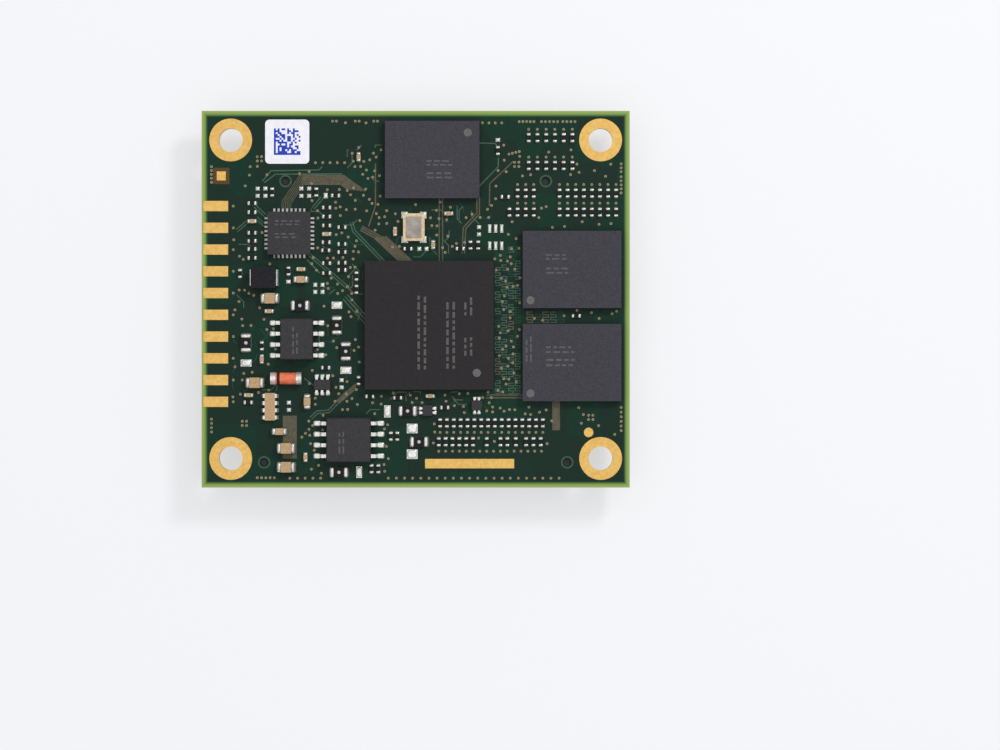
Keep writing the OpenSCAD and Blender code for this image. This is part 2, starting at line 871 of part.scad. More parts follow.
module resistor_terminals_top()
    color("silver")
        on_top()
            at_each(small_resistors_top)
                chip_terminals(small, resistor_h);

module jumper_bodies()
    color("black")
        on_top()
            at_each(jumpers_top)
                chip_body(large, jumper_h);

module jumper_terminals()
    color("silver")
        on_top()
            at_each(jumpers_top)
                chip_terminals(large, jumper_h);

module capacitor_bodies_top()
    color("tan")
        on_top() {
            at_each(small_capacitors_top)
                chip_body(small, small_cap_h);
            at_each(medium_capacitors_top)
                chip_body(medium, medium_cap_h);
            at_each(large_capacitors_top)
                chip_body(large, large_cap_h);
        }

module capacitor_terminals_top()
    color("silver")
        on_top() {
            at_each(small_capacitors_top)
                chip_terminals(small, small_cap_h);
            at_each(medium_capacitors_top)
                chip_terminals(medium, medium_cap_h);
            at_each(large_capacitors_top)
                chip_terminals(large, large_cap_h);
        }

module long_connector_housing()
    color("slategray")
        underside()
            translate([0, long_y, 0])
                conn_housing(long_n);

module long_connector_contacts()
    color("gold")
        underside()
            translate([0, long_y, 0])
                conn_contacts(long_n);

module short_connector_housing()
    color("slategray")
        underside()
            translate([0, short_y, 0])
                conn_housing(short_n);

module short_connector_contacts()
    color("gold")
        underside()
            translate([0, short_y, 0])
                conn_contacts(short_n);

module power_chip()
    color("dimgray")
        underside()
            at(power_at)
                flat_package(power_s);

module power_contacts()
    color("silver")
        underside()
            at(power_at)
                flat_contacts(power_s, 12, 0.42);

module second_crystal_base()
    color("tan")
        underside()
            at(crystal_low_at)
                crystal_base(crystal_size[0], crystal_size[1], crystal_size[2]);

module second_crystal_lid()
    color("silver")
        underside()
            at(crystal_low_at)
                crystal_lid(crystal_size[0], crystal_size[1], crystal_size[2]);

module watch_crystal_base()
    color("saddlebrown")
        underside()
            at(watch_at)
                crystal_base(watch_size[0], watch_size[1], watch_size[2]);

module watch_crystal_lid()
    color("gray")
        underside()
            at(watch_at)
                crystal_lid(watch_size[0], watch_size[1], watch_size[2]);

module choke_bodies_low()
    color("gray")
        underside()
            at_each(choke_places)
                chip_body([for (i = [0, 1, 3]) choke_low_size[i]], choke_low_size[2]);

module choke_terminals_low()
    color("silver")
        underside()
            at_each(choke_places)
                chip_terminals([for (i = [0, 1, 3]) choke_low_size[i]], choke_low_size[2]);

module bead_bodies()
    color("gray")
        underside()
            at_each(bead_places)
                chip_body(large, bead_h);

module bead_terminals()
    color("silver")
        underside()
            at_each(bead_places)
                chip_terminals(large, bead_h);

module switch_body()
    color("dimgray")
        underside()
            at(switch_at)
                mould(switch_size);

module switch_leads()
    color("silver")
        underside()
            at(switch_at)
                gull_leads(switch_size, 0.28, 0.12, 1);

module resistor_bodies_low()
    color("black")
        underside() {
            at_each(small_resistors_low)
                chip_body(small, resistor_h);
            at_each(medium_resistors_low)
                chip_body(medium, jumper_h);
        }

module resistor_terminals_low()
    color("silver")
        underside() {
            at_each(small_resistors_low)
                chip_terminals(small, resistor_h);
            at_each(medium_resistors_low)
                chip_terminals(medium, jumper_h);
        }

module capacitor_bodies_low()
    color("tan")
        underside() {
            at_each(small_capacitors_low)
                chip_body(small, small_cap_h);
            at_each(medium_capacitors_low)
                chip_body(medium, medium_cap_h);
            at_each(large_capacitors_low)
                chip_body(large, large_cap_h);
        }

module capacitor_terminals_low()
    color("silver")
        underside() {
            at_each(small_capacitors_low)
                chip_terminals(small, small_cap_h);
            at_each(medium_capacitors_low)
                chip_terminals(medium, medium_cap_h);
            at_each(large_capacitors_low)
                chip_terminals(large, large_cap_h);
        }

board();
mounting_rings();
contact_fingers_top();
contact_fingers_low();
test_pads_top();
test_pads_low();
tinned_pads_top();
tinned_pads_low();
label_top();
label_low();
processor();
processor_balls();
flash_memory();
flash_balls();
working_memory_a();
working_memory_b();
memory_balls();
network_chip();
network_contacts();
eeprom_body();
eeprom_leads();
serial_flash_body();
serial_flash_leads();
small_ic_bodies_top();
small_ic_leads_top();
main_crystal_base();
main_crystal_lid();
choke_top_body();
choke_top_terminals();
diode_glass();
diode_caps();
array_body();
array_terminals();
resistor_bodies_top();
resistor_terminals_top();
jumper_bodies();
jumper_terminals();
capacitor_bodies_top();
capacitor_terminals_top();
long_connector_housing();
long_connector_contacts();
short_connector_housing();
short_connector_contacts();
power_chip();
power_contacts();
second_crystal_base();
second_crystal_lid();
watch_crystal_base();
watch_crystal_lid();
choke_bodies_low();
choke_terminals_low();
bead_bodies();
bead_terminals();
switch_body();
switch_leads();
resistor_bodies_low();
resistor_terminals_low();
capacitor_bodies_low();
capacitor_terminals_low();
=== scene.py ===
"""Looks of a system on module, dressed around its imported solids.

Lengths are millimetres until a mesh is made. X runs along the board, Y across it and Z up. Each face
of the board has its own coordinates: u and v as seen from that side, and the height above the face.
"""

import json
import logging
from dataclasses import dataclass, field, replace
from enum import Enum
from typing import ClassVar, Protocol

import bpy
import numpy as np
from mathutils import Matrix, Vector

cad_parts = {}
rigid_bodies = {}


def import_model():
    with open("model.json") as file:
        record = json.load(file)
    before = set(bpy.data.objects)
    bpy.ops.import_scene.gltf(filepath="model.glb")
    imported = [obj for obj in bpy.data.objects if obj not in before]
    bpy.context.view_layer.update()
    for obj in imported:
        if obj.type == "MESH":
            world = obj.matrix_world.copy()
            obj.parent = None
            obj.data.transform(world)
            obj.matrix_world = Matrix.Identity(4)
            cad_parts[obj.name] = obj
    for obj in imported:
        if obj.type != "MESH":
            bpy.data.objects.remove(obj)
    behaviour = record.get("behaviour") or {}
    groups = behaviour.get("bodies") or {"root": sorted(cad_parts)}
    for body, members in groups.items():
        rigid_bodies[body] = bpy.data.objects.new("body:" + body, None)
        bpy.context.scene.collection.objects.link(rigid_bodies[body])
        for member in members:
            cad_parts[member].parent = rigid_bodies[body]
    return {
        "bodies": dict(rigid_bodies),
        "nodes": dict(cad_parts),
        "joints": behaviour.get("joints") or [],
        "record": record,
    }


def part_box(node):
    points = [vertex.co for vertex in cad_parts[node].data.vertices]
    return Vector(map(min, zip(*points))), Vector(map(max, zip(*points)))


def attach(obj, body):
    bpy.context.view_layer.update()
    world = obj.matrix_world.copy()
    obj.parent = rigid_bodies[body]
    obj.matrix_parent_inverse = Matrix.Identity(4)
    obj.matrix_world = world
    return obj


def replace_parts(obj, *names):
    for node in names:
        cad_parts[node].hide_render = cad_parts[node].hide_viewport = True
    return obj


Array = np.ndarray
Place = tuple[float, float]
Path = tuple[Place, ...]
Colour = tuple[int, int, int]
Socket = bpy.types.NodeSocket
Value = Socket | float | tuple[float, float, float, float]

LOG = logging.getLogger("module")
MM = 0.001
SEED = 11
BODY = "root"

# Triangles in one solid of a node: a block, a chip terminal and a gull-wing lead
BLOCK, TERMINAL, LEAD = 12, 16, 28

# Heights nearer than this, in millimetres, count as one level
SAME_LEVEL = 0.01

# Specular level of the solder mask and of the copper that shows through it
DULL = 0.12


def linear(colour: Colour) -> tuple[float, float, float, float]:
    """Turn a display colour of 0 to 255 into linear light with full alpha.

    Args:
        colour: Red, green and blue as they show on a screen.

    Returns:
        Linear red, green, blue and alpha.
    """
    c = np.asarray(colour, float) / 255
    light = np.where(c <= 0.04045, c / 12.92, ((c + 0.055) / 1.055) ** 2.4)
    return (*light.tolist(), 1.0)


class Side(Enum):
    """The two faces of the board."""

    TOP = 1
    LOW = -1


class Tone(Enum):
    """How a track shows through the solder mask."""

    BROWN = "track_brown"
    LIGHT = "track_light"
    DEEP = "track_deep"


class Work(Protocol):
    """Something that adds pieces to the object."""

    def build(self) -> None:
        """Make the pieces."""


@dataclass(frozen=True)
class Wiring:
    """Adds nodes to a tree. Inputs are sockets to link or plain values to set."""

    # Sockets of a colour mix: the share and the two colours, and the result
    MIX_INPUTS: ClassVar[tuple[int, int, int]] = (0, 6, 7)
    MIX_OUTPUT: ClassVar[int] = 2

    tree: bpy.types.NodeTree

    def feed(self, socket: Socket, value: Value) -> None:
        """Link a socket, or set its value.

        Args:
            socket: The input to feed.
            value: A socket to link or a value to set.
        """
        if isinstance(value, Socket):
            self.tree.links.new(value, socket)
        else:
            socket.default_value = value

    def math(self, operation: str, *values: Value) -> Socket:
        """Work out one operation on the values.

        Args:
            operation: Blender's name of the operation.
            values: The operands in order.

        Returns:
            The result.
        """
        node = self.tree.nodes.new("ShaderNodeMath")
        node.operation = operation
        for socket, value in zip(node.inputs, values):
            self.feed(socket, value)
        return node.outputs["Value"]

    def span(self, value: Value, start: float, end: float) -> Socket:
        """Find the share of the way from start to end, kept between 0 and 1.

        Args:
            value: The value to place.
            start: Where the share is 0.
            end: Where the share is 1.

        Returns:
            The share.
        """
        node = self.tree.nodes.new("ShaderNodeMapRange")
        for name, given in (("Value", value), ("From Min", start), ("From Max", end)):
            self.feed(node.inputs[name], given)
        return node.outputs["Result"]

    def mix(self, share: Value, first: Value, second: Value) -> Socket:
        """Blend two colours by a share.

        Args:
            share: Share of the second colour.
            first: Colour at share 0.
            second: Colour at share 1.

        Returns:
            The blended colour.
        """
        node = self.tree.nodes.new("ShaderNodeMix")
        node.data_type = "RGBA"
        for number, given in zip(self.MIX_INPUTS, (share, first, second)):
            self.feed(node.inputs[number], given)
        return node.outputs[self.MIX_OUTPUT]

    def blend(self, share: Value, first: Socket, second: Socket) -> Socket:
        """Blend two shaders by a share.

        Args:
            share: Share of the second shader.
            first: Shader at share 0.
            second: Shader at share 1.

        Returns:
            The blended shader.
        """
        node = self.tree.nodes.new("ShaderNodeMixShader")
        for socket, given in zip(node.inputs, (share, first, second)):
            self.feed(socket, given)
        return node.outputs["Shader"]

    def axes(self, kind: str) -> tuple[Socket, ...]:
        """Split the texture coordinates of one kind.

        Args:
            kind: Name of the coordinates, such as Object or Normal.

        Returns:
            X, Y and Z.
        """
        place = self.tree.nodes.new("ShaderNodeTexCoord")
        split = self.tree.nodes.new("ShaderNodeSeparateXYZ")
        self.feed(split.inputs["Vector"], place.outputs[kind])
        return tuple(split.outputs)

    def group(self, kind: type["Group"]) -> bpy.types.Node:
        """Add one of the shared node groups.

        Args:
            kind: The group's class.

        Returns:
            The group's node.
        """
        node = self.tree.nodes.new("ShaderNodeGroup")
        node.node_tree = kind.shared()
        return node


class Group:
    """A shared node group, built once and found again by its name."""

    NAME: str = ""
    INPUTS: tuple[tuple[str, str], ...] = ()
    OUTPUTS: tuple[tuple[str, str], ...] = ()

    @classmethod
    def shared(cls) -> bpy.types.NodeTree:
        """Build the group, or return it where it already exists.

        Returns:
            The group's node tree.
        """
        found = bpy.data.node_groups.get(cls.NAME)
        if found:
            return found
        tree = bpy.data.node_groups.new(cls.NAME, "ShaderNodeTree")
        for way, sockets in (("INPUT", cls.INPUTS), ("OUTPUT", cls.OUTPUTS)):
            for name, kind in sockets:
                tree.interface.new_socket(name=name, in_out=way, socket_type=kind)
        source = tree.nodes.new("NodeGroupInput")
        result = tree.nodes.new("NodeGroupOutput")
        for name, socket in cls.wire(Wiring(tree), source).items():
            tree.links.new(socket, result.inputs[name])
        return tree

    @classmethod
    def wire(cls, wiring: Wiring, source: bpy.types.Node) -> dict[str, Socket]:
        """Wire the group's inside.

        Args:
            wiring: Adds nodes to the group.
            source: The node with the group's inputs.

        Returns:
            The socket behind each output.
        """
        raise NotImplementedError


class Speckle(Group):
    """Breaks up a colour and its gloss with fine noise."""

    NAME = "fine_speckle"
    INPUTS = (
        ("Color", "NodeSocketColor"), ("Other", "NodeSocketColor"), ("Scale", "NodeSocketFloat"),
        ("Roughness", "NodeSocketFloat"), ("Spread", "NodeSocketFloat"))
    OUTPUTS = (
        ("Color", "NodeSocketColor"), ("Roughness", "NodeSocketFloat"), ("Height", "NodeSocketFloat"))
    DETAIL = 3.0
    CUT = (0.35, 0.65)

    @classmethod
    def wire(cls, wiring: Wiring, source: bpy.types.Node) -> dict[str, Socket]:
        """Blend the two colours, and raise the roughness, by the noise.

        Args:
            wiring: Adds nodes to the group.
            source: The node with the group's inputs.

        Returns:
            The socket behind each output.
        """
        place = wiring.tree.nodes.new("ShaderNodeTexCoord")
        noise = wiring.tree.nodes.new("ShaderNodeTexNoise")
        noise.inputs["Detail"].default_value = cls.DETAIL
        wiring.feed(noise.inputs["Vector"], place.outputs["Object"])
        given = source.outputs
        wiring.feed(noise.inputs["Scale"], given["Scale"])
        share = wiring.span(noise.outputs["Fac"], *cls.CUT)
        return {
            "Color": wiring.mix(share, given["Color"], given["Other"]),
            "Roughness": wiring.math("MULTIPLY_ADD", share, given["Spread"], given["Roughness"]),
            "Height": noise.outputs["Fac"],
        }


class Level(Group):
    """Tells level faces, at 1, from upright ones, at 0."""

    NAME = "level_share"
    OUTPUTS = (("Level", "NodeSocketFloat"),)

    @classmethod
    def wire(cls, wiring: Wiring, source: bpy.types.Node) -> dict[str, Socket]:
        """Take the size of the normal's upright part."""
        return {"Level": wiring.math("ABSOLUTE", wiring.axes("Normal")[2])}


@dataclass(frozen=True)
class Finish:
    """A surface finish: two close colours in fine noise, with gloss and grain.

    The grain is the noise's number of cells in a millimetre, the bump a depth in millimetres.
    """

    name: str
    colour: Colour
    other: Colour
    rough: float = 0.5
    spread: float = 0.1
    metal: float = 0.0
    grain: float = 6.0
    bump: float = 0.0
    coat: float = 0.0
    specular: float = 0.15

    def material(self) -> bpy.types.Material:
        """Build the material, or return it where it already exists.

        Returns:
            The material.
        """
        title = f"{self.name}_finish"
        found = bpy.data.materials.get(title)
        if found:
            return found
        made = bpy.data.materials.new(title)
        made.use_nodes = True
        wiring = Wiring(made.node_tree)
        shader = made.node_tree.nodes["Principled BSDF"]
        shader.inputs["Metallic"].default_value = self.metal
        shader.inputs["Coat Weight"].default_value = self.coat
        shader.inputs["Specular IOR Level"].default_value = self.specular
        speckle = wiring.group(Speckle)
        speckle.inputs["Color"].default_value = linear(self.colour)
        speckle.inputs["Other"].default_value = linear(self.other)
        speckle.inputs["Scale"].default_value = self.grain / MM
        speckle.inputs["Roughness"].default_value = self.rough
        speckle.inputs["Spread"].default_value = self.spread
        wiring.feed(shader.inputs["Base Color"], self.tint(wiring, speckle.outputs["Color"]))
        wiring.feed(shader.inputs["Roughness"], speckle.outputs["Roughness"])
        if self.bump:
            bump = made.node_tree.nodes.new("ShaderNodeBump")
            bump.inputs["Distance"].default_value = self.bump * MM
            wiring.feed(bump.inputs["Height"], speckle.outputs["Height"])
            wiring.feed(shader.inputs["Normal"], bump.outputs["Normal"])
        return made

    def tint(self, wiring: Wiring, colour: Socket) -> Socket:
        """Give the colour as it is; a finish with zones changes it."""
        return colour


@dataclass(frozen=True)
class MaskFinish(Finish):
    """Solder mask that stops short of the board's edges, where the laminate shows.

    The half lengths of the board are set from its solid.
    """

    half: Place = (0.0, 0.0)
    pour: Colour = (17, 42, 33)
    inner: Colour = (98, 140, 68)
    rim: Colour = (158, 172, 96)
    side: Colour = (138, 148, 90)
    ply: Colour = (98, 104, 58)
    band: float = 0.55
    fade: float = 0.16
    ply_t: float = 0.25
    ply_share: float = 0.2
    pour_grain: float = 0.22
    pour_cut: Place = (0.38, 0.42)

    def laminate(self, wiring: Wiring, inset: Socket, height: Socket) -> Socket:
        """Colour of the bare laminate: paler to the rim, duller on the sides, with a line for each ply.

        Args:
            wiring: Adds nodes to the material.
            inset: Distance from the board's nearest edge.
            height: Height in the part's frame.

        Returns:
            The laminate's colour.
        """
        flat = wiring.mix(wiring.span(inset, self.band * MM, 0.0), linear(self.inner), linear(self.rim))
        share = wiring.math("FRACT", wiring.math("MULTIPLY", height, 1 / (self.ply_t * MM)))
        line = wiring.math("LESS_THAN", share, self.ply_share)
        plies = wiring.mix(line, linear(self.side), linear(self.ply))
        return wiring.mix(wiring.group(Level).outputs["Level"], plies, flat)

    def tint(self, wiring: Wiring, colour: Socket) -> Socket:
        """Lay copper pours below the mask and the laminate along the edges.

        Args:
            wiring: Adds nodes to the material.
            colour: The mask's own colour.

        Returns:
            The colour with pours and edge band.
        """
        place = wiring.tree.nodes.new("ShaderNodeTexCoord")
        pours = wiring.tree.nodes.new("ShaderNodeTexVoronoi")
        pours.distance = "CHEBYCHEV"
        pours.inputs["Scale"].default_value = self.pour_grain / MM
        wiring.feed(pours.inputs["Vector"], place.outputs["Object"])
        under = wiring.mix(wiring.span(pours.outputs["Color"], *self.pour_cut), colour, linear(self.pour))
        x, y, z = wiring.axes("Object")
        gap_x = wiring.math("SUBTRACT", self.half[0] * MM, wiring.math("ABSOLUTE", x))
        gap_y = wiring.math("SUBTRACT", self.half[1] * MM, wiring.math("ABSOLUTE", y))
        inset = wiring.math("MINIMUM", gap_x, gap_y)
        bare = wiring.span(inset, (self.band + self.fade) * MM, (self.band - self.fade) * MM)
        return wiring.mix(bare, under, self.laminate(wiring, inset, z))


@dataclass(frozen=True)
class GlazeFinish(Finish):
    """Dark glaze on the flat of a chip resistor, with pale ceramic on its sides."""

    ceramic: Colour = (214, 210, 200)

    def tint(self, wiring: Wiring, colour: Socket) -> Socket:
        """Show ceramic where the surface stands upright.

        Args:
            wiring: Adds nodes to the material.
            colour: The glaze colour.

        Returns:
            Glaze on level faces and ceramic on upright ones.
        """
        return wiring.mix(wiring.group(Level).outputs["Level"], linear(self.ceramic), colour)


@dataclass(frozen=True)
class FloorFinish(Finish):
    """A plain floor that is pale to the eye, keeps a light shadow and is clear from below."""

    plain: float = 0.6

    def material(self) -> bpy.types.Material:
        """Build the floor's material.

        What looks at the floor, also by a reflection, sees a share of its plain colour beside the lit
        floor. What meets its back, and what looks for a lamp below, passes through.

        Returns:
            The material.
        """
        made = super().material()
        wiring = Wiring(made.node_tree)
        nodes = made.node_tree.nodes
        path = nodes.new("ShaderNodeLightPath").outputs
        mirrored = wiring.math("MAXIMUM", path["Is Glossy Ray"], path["Is Transmission Ray"])
        looked_at = wiring.math("MAXIMUM", path["Is Camera Ray"], mirrored)
        colour = nodes.new("ShaderNodeEmission")
        colour.inputs["Color"].default_value = linear(self.colour)
        front = wiring.blend(wiring.math("MULTIPLY", looked_at, self.plain),
                             nodes["Principled BSDF"].outputs["BSDF"], colour.outputs["Emission"])
        back = nodes.new("ShaderNodeNewGeometry").outputs["Backfacing"]
        passed = wiring.math("MAXIMUM", back, path["Is Shadow Ray"])
        clear = nodes.new("ShaderNodeBsdfTransparent")
        floor = wiring.blend(passed, front, clear.outputs["BSDF"])
        wiring.feed(nodes["Material Output"].inputs["Surface"], floor)
        return made


# The finish of each material slot
FINISHES: dict[str, Finish] = {made.name: made for made in (
    MaskFinish("solder_mask", (9, 49, 36), (14, 46, 35), 0.42, 0.12, grain=1.6, specular=DULL),
    Finish("gold", (220, 180, 103), (208, 167, 91), 0.34, 0.12, 0.6, 3.0, 0.003),
    Finish("tin", (228, 228, 224), (198, 196, 190), 0.24, 0.16, 0.7, 5.0, 0.01),
    Finish("label_film", (240, 239, 246), (232, 231, 240), 0.55, 0.1, grain=2.0),
    Finish("processor_mould", (45, 42, 44), (38, 36, 38), 0.6, 0.15, 0, 9.0, 0.006),
    Finish("memory_mould", (67, 66, 73), (56, 55, 62), 0.6, 0.15, 0, 7.0, 0.006),
    Finish("chip_mould", (61, 60, 62), (50, 49, 52), 0.6, 0.15, 0, 8.0, 0.006),
    Finish("crystal_ceramic", (222, 204, 168), (200, 176, 136), 0.45, 0.1, 0.2, 4.0),
    Finish("lid_metal", (160, 152, 146), (140, 130, 124), 0.34, 0.15, 0.5, 1.2, 0.002),
    Finish("choke_black", (34, 32, 40), (24, 23, 29), 0.55, 0.15, 0, 6.0, 0.008),
    Finish("diode_glass", (230, 124, 84), (212, 100, 64), 0.16, 0.06, 0, 2.0, coat=0.6),
    Finish("capacitor_ceramic", (192, 164, 126), (172, 142, 106), 0.5, 0.12, grain=5.0),
    GlazeFinish("resistor_glaze", (17, 14, 14), (27, 24, 24), 0.35, 0.12, grain=8.0),
    Finish("connector_plastic", (52, 54, 64), (42, 44, 53), 0.45, 0.14, 0, 5.0, 0.005),
    Finish("contact_gold", (190, 170, 148), (164, 142, 118), 0.3, 0.14, 0.7, 4.0),
    Finish("watch_ceramic", (70, 56, 46), (58, 46, 38), 0.5, 0.1, 0, 5.0),
    Finish("watch_metal", (150, 140, 128), (126, 117, 106), 0.32, 0.14, 0.6, 3.0),
    Finish("ferrite_grey", (97, 97, 100), (78, 78, 82), 0.6, 0.14, 0, 7.0, 0.008),
)}

# The finish of each detail, with the slot whose surface it lies on
DETAILS: dict[str, tuple[str, Finish]] = {made.name: (slot, made) for slot, made in (
    ("solder_mask", Finish("track_brown", (96, 91, 76), (82, 78, 63), 0.42, grain=3.0, specular=DULL)),
    ("solder_mask", Finish("track_light", (70, 98, 82), (56, 86, 70), 0.4, grain=3.0, specular=DULL)),
    ("solder_mask", Finish("track_deep", (34, 68, 53), (26, 60, 46), 0.4, grain=3.0, specular=DULL)),
    ("gold", Finish("via_metal", (164, 148, 118), (126, 112, 86), 0.4, 0.15, 0.2, 6.0)),
    ("solder_mask", Finish("via_plug", (72, 62, 44), (44, 46, 34), grain=8.0)),
    ("solder_mask", Finish("bare_laminate", (92, 70, 40), (78, 60, 36), 0.6, grain=5.0)),
    ("solder_mask", Finish("hole_rim", (60, 90, 62), (46, 76, 52), 0.45, grain=5.0)),
    ("label_film", Finish("code_blue", (30, 58, 172), (40, 70, 184))),
    ("processor_mould", Finish("laser_mark", (99, 97, 97), (82, 80, 81), 0.7, grain=9.0)),
    ("processor_mould", Finish("first_dot", (108, 107, 108), (94, 93, 95), 0.7)),
    ("resistor_glaze", Finish("white_ink", (196, 200, 208), (176, 180, 190), 0.6, grain=8.0)),
    ("diode_glass", Finish("diode_band", (40, 30, 30), (52, 38, 36), 0.35, grain=5.0)),
)}


@dataclass(frozen=True)
class Face:
    """One face of the board, with its own coordinates."""

    side: Side
    level: float

    @property
    def label(self) -> str:
        """The side's name, for names of pieces."""
        return self.side.name.lower()

    def place(self, points: Array) -> Array:
        """Turn face coordinates into the part's frame, half a turn about Y for the underside."""
        s = self.side.value
        return points * np.array([s, 1, s]) + np.array([0, 0, self.level])

    def local(self, points: Array) -> Array:
        """Turn the part's frame into face coordinates, the inverse of place."""
        s = self.side.value
        return (points - np.array([0, 0, self.level])) * np.array([s, 1, s])


class Frame:
    """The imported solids, read as triangles in millimetres."""

    RINGS = "mounting_rings"
    CONNECTORS = ("long_connector_housing", "short_connector_housing")

    def __init__(self, loaded: dict) -> None:
        """Keep the loaded nodes and find the board's faces and half lengths.
        """
        self.nodes: dict[str, bpy.types.Object] = loaded["nodes"]
        self.subparts: list[dict] = loaded["record"]["subparts"]
        low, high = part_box("board")
        self.top = Face(Side.TOP, high.z / MM)
        self.low = Face(Side.LOW, low.z / MM)
        self.half: Place = (high.x / MM, high.y / MM)

    def triangles(self, node: str, face: Face) -> Array:
        """Read a node's triangles in face coordinates.

        Args:
            node: The node's name.
            face: The face to measure from.

        Returns:
            Corner points, triangles by 3 by 3.
        """
        mesh = self.nodes[node].data
        points = np.zeros(len(mesh.vertices) * 3, np.float32)
        mesh.vertices.foreach_get("co", points)
        corners = np.zeros(len(mesh.loops), np.int32)
        mesh.loops.foreach_get("vertex_index", corners)
        return face.local(points.reshape(-1, 3)[corners].reshape(-1, 3, 3).astype(float) / MM)

    def solids(self, node: str, face: Face, each: int) -> Array:
        """Split a node of equal solids: solids by points by 3, with each the triangles in one."""
        return self.triangles(node, face).reshape(-1, each * 3, 3)

    def box(self, node: str, face: Face) -> tuple[Array, Array]:
        """Lowest and highest corner of a node in face coordinates."""
        points = self.triangles(node, face).reshape(-1, 3)
        return points.min(0), points.max(0)

    def rings(self, face: Face) -> Array:
        """Boxes round the mounting rings, one in each quarter of the board.

        Returns:
            Lowest and highest corner on the face, 4 by 2 by 2.
        """
        flat = self.triangles(self.RINGS, face).reshape(-1, 3)[:, :2]
        signs = np.array([[i, j] for i in (-1, 1) for j in (-1, 1)])
        inside = (flat[None] * signs[:, None] > 0).all(-1)[..., None]
        return np.stack([np.where(inside, flat, np.inf).min(1), np.where(inside, flat, -np.inf).max(1)], 1)

    def pegs(self, face: Face) -> Array:
        """Middles of the locating pegs, where the connector housings reach into the board.

        Returns:
            Places on the face, 4 by 2.
        """
        made = []
        for node in self.CONNECTORS:
            points = self.triangles(node, self.low).reshape(-1, 3)
            points = points[points[:, 2] < -SAME_LEVEL]
            for sign in (-1, 1):
                peg = points[points[:, 0] * sign > 0]
                made.append((peg.min(0) + peg.max(0)) / 2)
        return face.local(self.low.place(np.array(made)))[:, :2]

    def dress(self) -> None:
        """Give every node the finish of its material slot."""
        for part in self.subparts:
            finish = FINISHES[part["material_slot"]]
            if isinstance(finish, MaskFinish):
                finish = replace(finish, half=self.half)
            mesh = self.nodes[part["node"]].data
            mesh.materials.clear()
            mesh.materials.append(finish.material())
        LOG.info("dressed %d nodes", len(self.subparts))


class Piece:
    """Gathers vertex and face arrays and turns them into one mesh object."""

    def __init__(self, name: str, face: Face) -> None:
        """Start an empty piece.

        Args:
            name: The object's name.
            face: The face of the board that it lies on.
        """
        self.name = name
        self.face = face
        self.points: list[Array] = []
        self.polygons: list[list[int]] = []
        self.total = 0

    def add(self, points: Array, shapes: list[Array]) -> None:
        """Add copies of one shape.

        Args:
            points: Face coordinates, copies by points by 3.
            shapes: Vertex numbers of one copy, one array for each number of corners.
        """
        copies, each, _ = points.shape
        starts = self.total + each * np.arange(copies)
        for shape in shapes:
            numbers = starts[:, None, None] + shape[None]
            self.polygons.extend(numbers.reshape(-1, shape.shape[1]).tolist())
        self.points.append(points.reshape(-1, 3))
        self.total += copies * each

    def build(self, finish: Finish, slot: str, smooth: bool = False) -> bpy.types.Object:
        """Make the mesh in metres, dress it and let it ride on the part.

        Args:
            finish: The look of the piece.
            slot: The record's material slot that it belongs to; not used.
            smooth: Whether faces are shaded smoothly.

        Returns:
            The object.
        """
        mesh = bpy.data.meshes.new(self.name)
        where = self.face.place(np.concatenate(self.points)) * MM
        mesh.from_pydata(where.tolist(), [], self.polygons)
        mesh.polygons.foreach_set("use_smooth", np.full(len(mesh.polygons), smooth))
        mesh.update()
        mesh.materials.append(finish.material())
        made = bpy.data.objects.new(self.name, mesh)
        bpy.context.scene.collection.objects.link(made)
        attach(made, BODY)
        LOG.info("%s: %d faces", self.name, len(mesh.polygons))
        return made

    def detail(self, look: str, smooth: bool = False) -> bpy.types.Object:
        """Build with one of the detail finishes."""
        slot, finish = DETAILS[look]
        return self.build(finish, slot, smooth)


